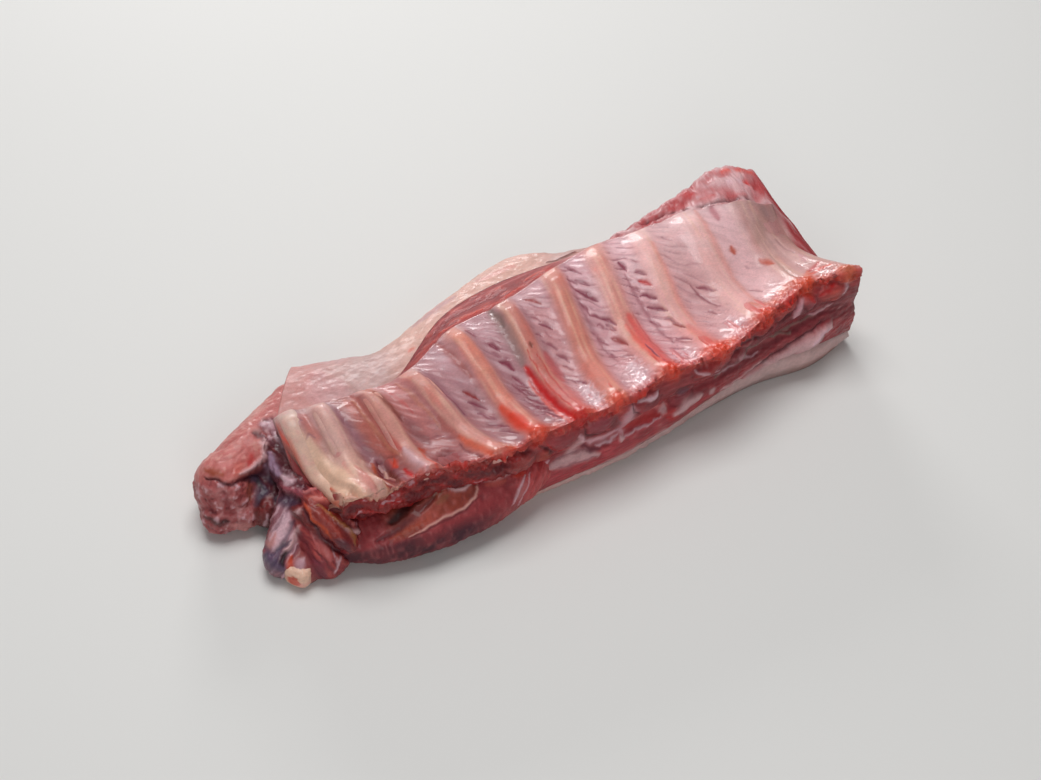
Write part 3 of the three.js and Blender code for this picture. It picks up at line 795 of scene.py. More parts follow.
# Its silver strokes are painted highlights on the wet skin near the near edge.
RIB_8_TO_10_MARKS = [
    ((222, 150, 136), 4, 0.5, 0, (9.14, 0.85), (9.14, 0.5), (9.14, 0.3)),
    ((205, 110, 100), 9, 0.65, 0, (9.0, 0.3), (9.05, 0.15), (9.05, 0.0)),
    ((214, 92, 66), 9, 0.75, 0, (8.72, 0.06), (9.05, 0.06), (9.36, 0.05)),
    ("orange_red", 5, 0.8, 0, (9.04, 0.1), (9.1, 0.03)),
    ("silver", 6, 0.7, 0, (8.6, 0.09), (8.62, 0.04)),
    ("silver", 8, 0.7, 0, (9.66, 0.16), (9.7, 0.07)),
    ((222, 160, 146), 4.5, 0.55, 0.1, (10.18, 1.0), (10.2, 0.6), (10.2, 0.2)),
    ((200, 110, 80), 8, 0.7, 0, (10.1, 0.18), (10.25, 0.1), (10.38, 0.05)),
    ((165, 80, 95), 5, 0.65, 0, (10.45, 1.0), (10.45, 0.87)),
    ((184, 84, 56), 4.6, 0.9, -0.2, (10.44, 0.645), (10.44, 0.6)),
    ((180, 80, 56), 4.4, 0.9, -0.2, (10.79, 0.48), (10.95, 0.41)),
    ("mark", 3, 0.3, 0, (10.5, 0.49), (10.54, 0.47)),
    ("silver", 4, 0.6, 0, (10.5, 0.13), (10.52, 0.1)),
    ((206, 104, 66), 8, 0.65, 0, (10.42, 0.08), (10.75, 0.11), (11.08, 0.06)),
]
RIB_10_TO_12_MARKS = [
    ((175, 145, 135), 9, 0.6, 0, (11.85, 0.95), (11.4, 0.78), (10.9, 0.62)),
    ((205, 175, 170), 12, 0.6, 0, (11.45, 0.72), (11.6, 0.5), (11.7, 0.24)),
    ((144, 118, 116), 6, 0.8, -0.5, (11.98, 1.0), (11.97, 0.87)),
    ((170, 110, 112), 6, 0.7, -0.3, (11.92, 0.84), (11.98, 0.77)),
    ((170, 144, 130), 1.8, 0.5, -0.3, (11.04, 0.5), (11.02, 0.25), (11.02, 0.02)),
    ((214, 96, 50), 6, 0.75, 0, (11.05, 0.02), (11.2, 0.08), (11.4, 0.18)),
    ("red", 4, 0.75, -0.3, (11.45, 0.18), (11.65, 0.22), (11.8, 0.25)),
    ("orange_red", 3, 0.7, 0, (11.3, 0.12), (11.6, 0.16), (11.9, 0.16)),
    ((190, 140, 150), 3, 0.6, 0, (11.85, 0.46), (11.78, 0.4), (11.7, 0.34)),
    ("grey_purple", 2.5, 0.35, -0.3, (11.72, 0.7), (11.8, 0.5)),
]
# Shining, finely wrinkled places, with painted highlights on them: radius, then (rib number, share across)
# from and to.
HIGHLIT_WET_PATCHES = [
    (5.0, (6.58, 0.24), (6.56, 0.04)),
    (5.5, (7.66, 0.2), (7.6, 0.05)),
    (4.0, (8.6, 0.1), (8.62, 0.04)),
    (4.0, (9.66, 0.16), (9.7, 0.06)),
    (2.5, (10.5, 0.13), (10.54, 0.11)),
    (3.0, (11.7, 0.12), (11.8, 0.1)),
]
WET_WRINKLE = 0.5
EDGE_ROUND = 1.0  # how far the rib side's near edge is rounded off

# The first rib's middle line and the left rim of the muscle beside it, by share across.
FIRST_RIM_AT = [0, 0.1, 0.2, 0.3, 0.4, 0.5, 0.6, 0.7, 0.8]
FIRST_RIM = [0.56, 0.72, 0.83, 0.9, 0.87, 0.8, 0.7, 0.55, 0.45]
FIRST_RIB_BEND_AT = [0, 0.1, 0.2, 0.3, 0.45, 0.6, 0.8, 1]
FIRST_RIB_BEND = [-2, 0, 2.8, 4.2, 2.8, 0.2, -1.6, -2]

# Marks on the near cut: the path as (rib number, share of the cut's height).
NEAR_CUT_AT = [0, 0.16, 0.34, 0.48, 0.62, 0.76, 0.88, 1]
NEAR_CUT_OUT = [0, 2.5, 2, -1.5, 1.2, 1, -0.5, 0]
CUT_LUMPS = [
    # rib number, share of height, half length, half height, bulge, colour
    (4.4, 0.7, 9, 6, 2.0, "brown_pink"),
    (5.06, 0.62, 5, 5, 1.4, "rust"),
    (5.5, 0.79, 8, 6.5, 3.4, (136, 66, 72)),
    (6.38, 0.79, 7.5, 6.5, 3.2, (142, 78, 90)),
    (7.36, 0.93, 6.5, 3.5, 1.8, (150, 58, 46)),
    (7.58, 0.72, 8, 5.5, 3.2, (134, 56, 66)),
    (8.3, 0.5, 7, 5.5, 2.4, (112, 42, 60)),
    (8.72, 0.78, 8, 3.6, 2.2, (150, 46, 44)),
    (9.4, 0.66, 6, 5, 1.8, (126, 56, 64)),
    (10.0, 0.82, 7, 4, 2.0, (146, 46, 40)),
    (10.5, 0.86, 8, 5, 2.2, (166, 66, 52)),
    (11.0, 0.72, 4, 4, 1.4, (160, 90, 96)),
    (11.55, 0.74, 8, 4.5, 2.4, (190, 92, 78)),
]
CUT_MARKS = [
    ("wine", 3.5, 0.8, -1.4, (3.9, 0.86), (4.3, 0.86), (4.6, 0.84), (5.0, 0.88)),
    ("dark_lean", 3, 0.7, -0.8, (3.4, 0.8), (3.8, 0.78), (4.1, 0.8)),
    ("white_fat", 5, 0.6, 0.3, (4.05, 0.72), (4.2, 0.6), (4.3, 0.5)),
    ("wine", 2.2, 0.85, -0.8, (4.98, 0.84), (5.1, 0.74), (5.24, 0.66), (5.4, 0.62), (5.6, 0.62)),
    ("red", 1.5, 0.8, -0.2, (5.14, 0.8), (5.22, 0.7), (5.4, 0.6), (5.6, 0.58)),
    ("white_fat", 9, 0.85, 0.8, (5.88, 0.66), (5.78, 0.54), (5.66, 0.44)),
    ("white_fat", 7, 0.9, 0.6, (5.22, 0.37), (5.6, 0.38), (6.0, 0.34), (6.3, 0.28)),
    ("grey_purple", 1.3, 0.7, -0.3, (5.3, 0.42), (5.6, 0.44), (5.9, 0.42), (6.2, 0.34)),
    ("grey_purple", 1.2, 0.7, -0.3, (5.4, 0.33), (5.8, 0.3), (6.3, 0.26)),
    ("wine", 1.8, 0.85, -0.8, (6.1, 0.94), (5.98, 0.84), (6.0, 0.72), (6.2, 0.62), (6.6, 0.6)),
    ("lilac", 4.5, 0.9, 0.5, (5.86, 0.72), (5.98, 0.58), (6.2, 0.5), (6.6, 0.47), (6.95, 0.5)),
    ("purple", 3.6, 0.8, -0.4, (5.96, 0.46), (6.16, 0.38), (6.4, 0.37)),
    ("silver", 1.5, 0.8, 0.2, (6.3, 0.42), (6.7, 0.4), (6.95, 0.44)),
    ("lilac", 9, 0.85, 0.5, (7.26, 0.78), (7.16, 0.62), (7.04, 0.46)),
    ("grey_purple", 1.5, 0.7, -0.4, (6.94, 0.76), (7.0, 0.62), (6.92, 0.5)),
    ("dark_lean", 6, 0.8, -0.3, (6.84, 0.84), (6.86, 0.68), (6.8, 0.58)),
    ((180, 44, 44), 4.5, 0.85, 0.2, (7.12, 0.48), (7.5, 0.42), (7.9, 0.36), (8.1, 0.34)),
    ("silver", 1.5, 0.75, 0.3, (7.0, 0.4), (7.44, 0.35), (7.84, 0.33)),
    ("pink", 2.0, 0.7, 0.3, (7.16, 0.54), (7.6, 0.52), (8.0, 0.44)),
    ("white_fat", 5.5, 0.95, 0.8, (7.02, 0.38), (7.06, 0.37)),
    # Painted highlight along the top of a round lump.
    ("silver", 2.6, 0.95, 0.8, (7.4, 0.82), (7.6, 0.8), (7.78, 0.8)),
    ("wine", 1.5, 0.8, -0.6, (7.28, 0.86), (7.28, 0.72), (7.4, 0.62), (7.7, 0.6), (7.86, 0.7)),
    ("dark_lean", 2.5, 0.7, -0.3, (7.5, 0.74), (7.8, 0.74)),
    ("blood", 5.5, 0.8, 0.2, (7.96, 0.28), (8.1, 0.24), (8.18, 0.2)),
    ("white_fat", 6.5, 0.95, 1.0, (8.12, 0.28), (8.4, 0.31), (8.64, 0.34)),
    ("white_fat", 6, 0.8, 0.5, (7.86, 0.42), (7.94, 0.4)),
    ("wine", 1.6, 0.8, -0.6, (8.02, 0.62), (8.3, 0.66), (8.6, 0.64)),
    ("slate", 3.5, 0.5, -0.2, (8.2, 0.6), (8.4, 0.58)),
    ("silver", 2.4, 0.7, 0.5, (8.5, 0.86), (8.62, 0.78), (8.7, 0.76)),
    ("silver", 2.0, 0.6, 0.4, (8.78, 0.7), (8.98, 0.66)),
    ("white_fat", 4.5, 0.8, 0.5, (8.86, 0.26), (8.94, 0.3)),
    ("wine", 2.0, 0.8, -0.6, (9.2, 0.78), (9.5, 0.84), (9.9, 0.74), (10.2, 0.72)),
    ("lilac", 4.0, 0.5, 0.3, (9.42, 0.68), (9.52, 0.62)),
    ("blood", 2.5, 0.7, 0, (9.8, 0.9), (10.0, 0.86), (10.25, 0.84)),
    ("green_grey", 2.2, 0.8, 0.5, (9.0, 0.44), (9.3, 0.58), (9.62, 0.68), (10.0, 0.56), (10.55, 0.4)),
    ("green_grey", 1.8, 0.7, 0.4, (10.2, 0.5), (10.6, 0.46), (11.14, 0.5), (11.5, 0.56)),
    ("lilac", 4.5, 0.85, 0.5, (10.62, 0.64), (10.76, 0.72), (10.86, 0.8)),
    ("wine", 3.5, 0.8, -0.4, (10.38, 0.74), (10.5, 0.72), (10.6, 0.74)),
    ("blood", 2.5, 0.7, 0, (10.9, 0.86), (11.04, 0.8), (11.1, 0.7)),
    ("blood", 2.0, 0.8, -0.5, (11.24, 0.76), (11.45, 0.8), (11.6, 0.86)),
    ("silver", 2.4, 0.8, 0.4, (11.84, 0.9), (11.84, 0.78), (11.8, 0.7)),
    ("lilac", 2.4, 0.7, 0.2, (11.0, 0.52), (11.27, 0.5), (11.5, 0.56)),
    ("silver", 1.6, 0.5, 0.2, (8.9, 0.5), (9.3, 0.44), (9.9, 0.4)),
    ("white_fat", 3.5, 0.9, 0.8, (9.1, 0.16), (9.5, 0.13), (9.9, 0.2), (10.2, 0.1)),
    ("white_fat", 9, 0.98, 1.8, (9.7, 0.03), (10.1, 0.06), (10.5, 0.12), (10.9, 0.16), (11.4, 0.26)),
    ("wine", 2.4, 0.85, -0.9, (9.6, 0.14), (10.1, 0.2), (10.6, 0.27), (11.2, 0.36)),
    ("white_fat", 9, 0.9, 1.4, (10.7, 0.02), (10.9, 0.12), (11.1, 0.1)),
    ("silver", 2.5, 0.9, 0.4, (10.9, 0.14), (11.15, 0.2), (11.4, 0.24)),
    ("white_fat", 3, 0.7, 0.3, (6.4, 0.02), (7.0, 0.03), (7.7, 0.03), (8.3, 0.01)),
    ("pink_fat", 2, 0.5, 0.2, (8.4, 0.04), (9.0, 0.08), (9.3, 0.06)),
    ("silver", 2.6, 0.7, 0.3, (5.0, 0.34), (5.1, 0.42), (5.2, 0.46)),
    ("pink_fat", 5, 0.45, 0.2, (4.25, 0.32), (4.15, 0.18), (4.1, 0.02)),
    ("rust", 6, 0.5, 0, (4.6, 0.2), (4.75, 0.05)),
    ("silver", 3, 0.5, 0.2, (4.5, 0.4), (4.9, 0.37)),
]
# Torn ends of the ribs along the near cut: rib number, radius, colour.
TORN_ENDS = [
    (5.0, 5, "orange_red"),
    (5.9, 5, "blood"),
    (7.0, 5, "orange_red"),
    (8.1, 5.5, "orange_red"),
    (9.05, 6.5, "orange_red"),
    (10.1, 5.5, "orange_red"),
    (11.0, 5.5, (214, 84, 44)),
    (11.9, 4.5, (206, 110, 70)),
]
# How red the near edge is, by rib number.
NEAR_EDGE_RED_AT = [0.5, 2.6, 2.8, 3.6, 4, 4.6, 5, 5.5, 5.9, 6.3, 7, 7.6, 8, 8.5, 9, 9.6, 10, 11, 12, 12.25]
NEAR_EDGE_RED = [0.1, 0.2, 0.5, 0.5, 0.8, 0.7, 0.9, 0.6, 0.9, 0.8]
NEAR_EDGE_RED += [0.5, 0.6, 0.9, 0.8, 1, 0.8, 0.9, 0.9, 0.6, 0.4]

# Marks on the far step and strip: colour, width, strength, relief, then (rib number, share across).
FAR_MARKS = [
    ("dark_lean", 2.2, 0.7, -0.6, (4.3, 1.35), (5.2, 1.4), (6.0, 1.35), (6.8, 1.3)),
    ("dark_lean", 1.6, 0.5, -0.4, (4.6, 1.7), (5.6, 1.62), (6.6, 1.55)),
    ("pink", 1.8, 0.6, 0.3, (4.4, 1.5), (5.4, 1.52), (6.2, 1.48), (7.0, 1.42)),
    ("orange_red", 1.6, 0.4, 0.2, (4.2, 1.22), (5.0, 1.24), (6.0, 1.2), (7.0, 1.2)),
    ("orange_red", 3, 0.7, 0, (4.3, 1.5), (4.5, 1.5)),
    ("white_fat", 7, 0.7, 0.8, (10.45, 1.6), (11.0, 1.5), (11.5, 1.45), (11.9, 1.3)),
    ("white_fat", 6, 0.6, 0.4, (9.9, 1.2), (10.6, 1.12), (11.4, 1.1)),
    ("wine", 2.0, 0.9, -1.4, (9.23, 1.36), (9.63, 1.3), (9.95, 1.22)),
    ("wine", 1.6, 0.85, -1.2, (9.95, 1.22), (10.3, 1.14), (10.8, 1.1)),
    ("wine", 1.6, 0.8, -1.0, (10.8, 1.1), (11.2, 1.12), (11.83, 1.08)),
    ("red", 7, 0.75, 0.5, (10.15, 1.62), (10.3, 1.5)),
    ("orange_red", 4, 0.75, 0.4, (11.1, 1.7), (11.5, 1.75)),
    ("red", 6, 0.6, 0.3, (10.4, 1.27), (10.62, 1.27)),
    ("red", 4, 0.55, 0.3, (10.2, 1.49), (10.36, 1.48)),
    ("red", 3, 0.6, 0, (9.4, 1.36), (9.73, 1.34)),
    ((206, 40, 36), 5, 0.8, 0.2, (11.8, 1.47), (11.92, 1.45)),
    ("red", 4, 0.6, 0, (10.85, 1.79), (11.0, 1.78)),
    ("orange_red", 3.5, 0.7, 0.4, (11.66, 1.68), (11.97, 1.76), (12.2, 1.7)),
    ("mark", 4, 0.6, 0, (10.42, 1.02), (10.5, 1.02)),
    ("white_fat", 3, 0.8, 0.8, (12.1, 1.15), (12.25, 1.1)),
    ("dark_lean", 3, 0.7, -0.4, (12.15, 0.83), (12.25, 0.83)),
    ("silver", 2, 0.7, 0.4, (10.9, 1.4), (11.3, 1.5), (11.6, 1.45)),
]


FAR_EDGE_OUT = 1.6  # how far the step's top stands out past the ribs' far ends
FAR_STEP_SWELL = 1.0


def slab_sections(u):
    """Outline of the meat at each station, and where its rows lie across the top and up the cut."""
    v = np.linspace(0, 1, TOP_ROWS)
    top = [cage_point(u, np.full_like(u, share))[..., 1:] for share in v]
    drop = np.stack([at(FAR_Y, u) + FAR_EDGE_OUT, at(FAR_Z, u) - at(STEP, u)], -1)
    shoulder = np.stack([at(SHOULDER_Y, u), at(SHOULDER_Z, u)], -1)
    middle = lerp(drop, shoulder, 0.5) + np.array([0, FAR_STEP_SWELL])
    outer = np.stack([at(OUTER_Y, u), at(OUTER_Z, u)], -1)
    far = through([top[-1], drop, middle, shoulder, outer], FAR_ROWS + 2)[1:-1]
    layer = layer_points(u, LAYER_ROWS + 1)
    up_cut = np.linspace(0, 1, CUT_ROWS + 2)[1:-1]
    cut = []
    for share in up_cut:
        z = lerp(at(FOOT_Z, u), at(NEAR_Z, u), share)
        y = lerp(at(FOOT_Y, u), at(NEAR_Y, u), share) - cut_relief(u, share)
        cut.append(np.stack([y, z], -1))
    outline = np.concatenate([np.stack(top), far, layer, np.stack(cut)])
    x = line_x(u[None, :], share_across(u[None, :], outline[..., 0]))
    return np.concatenate([x[..., None], outline], -1), v, up_cut


def cut_relief(u, share):
    """How far the cut bulges out, flatter at the loin end."""
    return along(NEAR_CUT_AT, NEAR_CUT_OUT, share) * lerp(1.0, 0.35, rise(u, *LOIN_LINES))


def rib_gaps(x, v):
    """Distance of each point from each rib's middle line."""
    gaps = [x - line_x(float(n), v) for n in range(1, RIB_COUNT + 1)]
    gaps[0] = gaps[0] - along(FIRST_RIB_BEND_AT, FIRST_RIB_BEND, v)
    return np.stack(gaps)


def off_ribs(gaps, reach):
    """1 between the ribs, 0 on them."""
    return 1 - np.max([bump(gap, 0, reach, 4) for gap in gaps], axis=0)


def plan_place(u, v):
    """Place on the plan for a rib number and a share across, up to 2 at the flap's edge."""
    near, far, flap = at(NEAR_Y, u), at(FAR_Y, u), at(FLAP_Y, u)
    y = lerp(near, far, v) if v <= 1 else lerp(far, flap, v - 1)
    return float(line_x(float(u), float(v))), float(y)


# Ridges over the ribs, and the muscle between them.
LESS_PROUD = 0.25  # than the bones of the part's source
RIB_STRENGTH = [0.95, 0.95, 0.95, 0.95, 0.95, 0.95, 0.95, 0.9, 0.75, 0.65, 0.8, 0.8]
RIB_EDGE = [4, 4, 4, 4, 4, 4, 3.5, 3, 2.5, 2.2, 2.2, 2.2]
RIB_HALF_WIDTH = [5.9, 5.9, 5.9, 5.9, 5.9, 5.9, 6.2, 6.6, 7.2, 7.6, 7.6, 7.0]
HERRINGBONE_AT = [4.4, 5.5, 6.5, 7.5, 8.5, 9.5, 10.2]
HERRINGBONE = [0.3, 0.9, 0.8, 1.0, 1.0, 0.5, 0.0]
STRAND_SPACING = 5.2
STRAND_RELIEF = 0.25
SLIT_DEPTH = 0.45


def between_ribs(u, v):
    """Colour of the muscle between the ribs, from the near end's to the far end's."""
    middles = np.arange(len(BETWEEN)) + 0.5
    ends = []
    for end in (0, 1):
        table = np.array([tone(*pair[end]) for pair in BETWEEN])
        ends.append(np.stack([np.interp(u, middles, table[:, k]) for k in range(3)], 1))
    return lerp(ends[1], ends[0], v[:, None])


def paint_strands(coat, u, v, plan, off_rib):
    """Strands that run aslant from rib to rib, and the herringbone of dark slits between them."""
    x, y = plan[:, 0], plan[:, 1]
    across = 0.61 * x + 0.79 * y
    lengthways = 0.79 * x - 0.61 * y
    strands = noise(flat_points(across, lengthways * 0.14), 1.5, 8)
    strands = strands * (1 - 0.6 * rise(u, 8.8, 10.0))
    coat.wash("grey_purple", np.clip(strands, 0, 1) * off_rib, 0.5)
    coat.wash("silver", np.clip(-strands, 0, 1) * off_rib, 0.45)
    phase = across / STRAND_SPACING + 0.5 * noise(plan, 9, 12)
    lines = rise(np.cos(2 * np.pi * phase), 0.72, 1.0) * rise(noise(plan, 5, 13), -0.3, 0.3)
    shown = rise(v, 0.06, 0.16) * fade(v, 0.92, 1.0)
    slits = lines * off_rib * shown * np.interp(u, HERRINGBONE_AT, HERRINGBONE)
    coat.wash("mark", slits, 0.7)
    coat.relief += STRAND_RELIEF * strands * off_rib - SLIT_DEPTH * slits


def paint_rib_bands(coat, v, gaps):
    for n, (far, near, far_half, near_half) in enumerate(RIB_BANDS):
        half = lerp(near_half, far_half, v)
        band = np.exp(-(np.abs(gaps[n] / half) ** RIB_EDGE[n]))
        coat.wash(lerp(tone(*near), tone(*far), v[:, None]), band, RIB_STRENGTH[n])


def streak_ribs(coat, u, plan, gaps, on_rib):
    """Pale and brown streaks along the ribs, and rosy places on them."""
    x, y = plan[:, 0], plan[:, 1]
    nearest = np.argmin(np.abs(gaps), axis=0)
    from_middle = gaps[nearest, np.arange(len(x))]
    streaks = noise(flat_points(from_middle + 30.0 * nearest, y * 0.07), 1.5, 9)
    coat.wash("ivory", np.clip(streaks, 0, 1) * on_rib, 0.4)
    darker = np.clip(-streaks, 0, 1) * (1 - 0.5 * rise(u, 8.4, 9))
    coat.wash("brown_pink", darker * on_rib, 0.35)
    coat.wet = lerp(coat.wet, 0.25, on_rib * 0.7)
    rosy = rise(rough_noise(flat_points(x, y * 0.4), 7, 14), 0.1, 0.7)
    rosy = rosy * rise(u, 3, 4) * (1 - 0.6 * rise(u, 8.4, 9))
    coat.wash("salmon", rosy * on_rib, 0.35)


def paint_membrane(coat, u, v, plan, gaps):
    """The membrane over the ribs and the strands of muscle that show through between them."""
    cloud = rough_noise(plan, 20, 3)
    off_rib = off_ribs(gaps, 7.0)
    coat.colour = between_ribs(u, v)
    paint_strands(coat, u, v, plan, off_rib)
    paint_rib_bands(coat, v, gaps)
    coat.wash("lilac", np.clip(cloud, 0, 1) * (1 - 0.5 * rise(u, 8, 9)), 0.3)
    coat.wash("pink", np.clip(-cloud, 0, 1) * (1 - 0.7 * rise(u, 8, 9)), 0.3)
    streak_ribs(coat, u, plan, gaps, 1 - off_rib)


BARE_RIB_SUNK = 0.5
PLATE_RISE = 3.4  # of the skin that spans the first two ribs
SINK_BETWEEN = 0.8  # of the muscle between the ribs
RIM_DROP = 9  # from the first rib's torn rim


def raise_ribs(coat, u, v, gaps):
    """Ridges of the ribs under the membrane, the bare first rib's bed and the torn rim beside it."""
    ends = rise(v, -0.01, 0.03) * (1 - 0.8 * rise(v, 0.88, 1.0))
    for n in range(2, RIB_COUNT + 1):
        swell = 1 + 0.08 * np.sin(v * 9 + n)
        ridge = bump(gaps[n - 1], 0, RIB_HALF_WIDTH[n - 1], 2.8 - 0.8 * (n > 7))
        coat.relief += (BONE_PROUD[n - 1] - LESS_PROUD) * swell * ridge * ends
    coat.relief += (BONE_PROUD[0] - BARE_RIB_SUNK) * bump(gaps[0], 0, 8.0, 3.5) * rise(v, 0.0, 0.14)
    coat.wash("ivory", bump(gaps[0], 0, 7.0, 4) * fade(v, 0.45, 0.8), 0.85)
    coat.relief += PLATE_RISE * (rise(u, 1.0, 1.3) * fade(u, 1.9, 2.2) * fade(v, 0.4, 0.56))
    coat.relief -= SINK_BETWEEN * off_ribs(gaps, 8.0)
    rim = along(FIRST_RIM_AT, FIRST_RIM, v)
    beside = rise(rim - u, 0.0, 0.08) * fade(v, 0.66, 0.8)
    line = bump(u, rim + 0.03, 0.05) * fade(v, 0.8, 0.95)
    coat.wash("orange_red", line * rise(v, 0.1, 0.25), 0.75)
    coat.relief -= RIM_DROP * beside
    coat.wash("wine", beside, 0.95)


# Torn places beside the near ends of ribs 2 and 3: depth, width, then the path.
HOLLOWS = [
    (4.5, 8, (2.58, 0.34), (2.44, 0.22), (2.28, 0.1), (2.14, 0.0)),
    (4.5, 11, (3.42, 0.2), (3.38, 0.1), (3.34, 0.0)),
]
MARK_GROUPS = (
    STEMS,
    FIRST_RIB_MARKS,
    RIB_2_TO_4_MARKS,
    RIB_4_TO_6_MARKS,
    RIB_6_TO_8_MARKS,
    RIB_8_TO_10_MARKS,
    RIB_10_TO_12_MARKS,
)


def paint_hollows(coat, points):
    ragged = rough_noise(points, 3.0, 61)
    for depth, width, *path in HOLLOWS:
        hollow = coat.path_mask(path, width)
        coat.relief += hollow * (1.0 * ragged - depth)
        coat.wash("dark_lean", hollow, 0.95)
        coat.wash("red", hollow * np.clip(ragged, 0, 1), 0.8)
        coat.wash("silver", hollow * rise(ragged, 0.35, 0.6), 0.5)


def redden(coat, edge, torn, shreds, blood, brown, wine):
    """Red, brown and pale tissue on a torn edge; a tissue's three numbers say where it shows and how much."""
    coat.wash("orange_red", edge, 0.7)
    coat.wash("blood", edge * rise(torn, *blood[:2]), blood[2])
    coat.wash("brown", edge * rise(-torn, *brown[:2]), brown[2])
    coat.wash("peach", edge * rise(shreds, 0.3, 0.6), 0.6)
    coat.wash("wine", edge * rise(-shreds, 0.2, 0.6), wine)


def roughen(coat, u, edge, torn, shreds):
    """Ragged relief of a torn edge, rougher from the sixth rib on."""
    coat.relief += edge * (1.5 * torn + 1.0 * shreds) * (1 + 0.7 * rise(u, 5.8, 7.5))


def tear_near_edge(coat, u, v, points):
    """Red, ragged tissue along the near edge and on the cut ends of the ribs."""
    torn = rough_noise(points, 5, 21)
    shreds = rough_noise(points, 2, 22)
    red = np.interp(u, NEAR_EDGE_RED_AT, NEAR_EDGE_RED)
    edge = fade(v + 0.04 * torn, 0.0, 0.09 + 0.05 * rise(u, 7.6, 8.6))
    redden(coat, edge * red, torn, shreds, (0.1, 0.6, 0.6), (0.15, 0.6, 0.45), 0.55)
    roughen(coat, u, edge, torn, shreds)
    coat.relief -= EDGE_ROUND * fade(v, 0.0, 0.03)
    coat.wet = lerp(coat.wet, 0.85, edge * red)


def paint_wet_patches_and_highlights(coat, points):
    wrinkles = noise(points, 1.3, 71) + 0.6 * noise(points, 0.7, 72)
    for radius, *path in HIGHLIT_WET_PATCHES:
        mask = coat.path_mask(path, 2 * radius)
        coat.relief += WET_WRINKLE * mask * wrinkles
        # The silver wash over the wrinkles paints highlights on the wet skin.
        coat.wash("silver", mask * rise(wrinkles, -0.1, 0.7), 0.75)
        coat.wet = lerp(coat.wet, 1.0, mask)


def paint_top(u, v, points):
    coat = Coat(points[:, :2], (0, 0, 0), plan_place, seed=5)
    gaps = rib_gaps(points[:, 0], v)
    coat.wet = 0.5 + 0.2 * rise(u, 5.5, 8) * fade(v, 0.2, 0.4)
    coat.wet = coat.wet + 0.25 * rough_noise(points, 8, 23)
    paint_membrane(coat, u, v, flat_points(points[:, 0], points[:, 1]), gaps)
    paint_hollows(coat, points)
    for marks in MARK_GROUPS:
        coat.strokes(marks)
    for colour, width, strength, start, end in BARBS:
        bend = ((start[0] + end[0]) / 2, (start[1] + end[1]) / 2 + BARB_BEND)
        coat.stroke(colour, [start, bend, end], BARB_SLIM * width, strength, -BARB_DEPTH, BARB_TAPER)
    raise_ribs(coat, u, v, gaps)
    paint_wet_patches_and_highlights(coat, points)
    tear_near_edge(coat, u, v, points)
    for n, radius, colour in TORN_ENDS:
        coat.stroke(colour, [(n, 0.0), (n, 0.045)], 2 * radius, 0.75, 0.8, 0.2)
    coat.fibre[:] = 0.35
    return coat


CUT_REDNESS = np.array([1.06, 0.74, 0.78])  # share of each channel that the lean of the cut keeps


def paint_cut_ground(coat, u, share, grain, patches, right):
    """Lean of the near cut: paler low down at the left, dark in the middle of the right."""
    coat.wash((186, 86, 94), (1 - right) * fade(share, 0.35, 0.5), 0.7)
    coat.wash("dark_lean", rise(patches, -0.2, 0.5), 0.45)
    coat.wash((112, 44, 54), right * rise(share, 0.2, 0.4) * fade(share, 0.66, 0.8), 0.85)
    coat.wash((150, 56, 64), right * fade(share, 0.2, 0.36), 0.7)
    coat.wash("pink", np.clip(grain, 0, 1), 0.3)
    coat.wash("wine", np.clip(-grain, 0, 1), 0.4)
    coat.colour *= CUT_REDNESS
    coat.wash("pink_fat", rise(grain, 0.5, 0.8) * rise(patches, -0.2, 0.4), 0.5)
    coat.relief += 0.3 * grain + 0.5 * patches


def paint_cut_lumps(coat, grain, patches):
    """Round lumps of muscle in the near cut, each with a dark groove round it."""
    for line, t, half_length, half_height, bulge, colour in CUT_LUMPS:
        middle = coat.place(line, t)
        far = ((coat.chart[:, 0] - middle[0]) / half_length) ** 2
        far = far + ((coat.chart[:, 1] - middle[1]) / half_height) ** 2
        far = far * (1 + 0.5 * patches)
        lump = np.exp(-(far**1.4))
        rim = np.exp(-((np.sqrt(far) - 1.2) ** 2) / 0.03)
        coat.relief += 0.85 * bulge * lump - 0.6 * rim
        coat.wash(colour, lump * (0.8 + 0.4 * grain), 0.8)
        coat.wash("wine", rim * (0.6 + 0.6 * patches), 0.5)


def rip_cut(coat, ripped, torn, shreds, tufts):
    """The left part of the cut, which is ripped rather than sliced."""
    coat.wash((140, 46, 42), ripped, 0.85)
    coat.wash("wine", ripped * rise(-tufts, 0.0, 0.4), 0.65)
    coat.wash("red", ripped * rise(tufts, 0.1, 0.4), 0.7)
    coat.wash("silver", ripped * rise(tufts, 0.45, 0.65), 0.7)
    coat.relief += ripped * (2.0 * torn + 0.9 * shreds)


def cut_place(line, share):
    """Place on the cut's chart for a rib number and a share of its height."""
    return float(line_x(float(line), 0.0)), float(lerp(at(FOOT_Z, line), at(NEAR_Z, line), share))


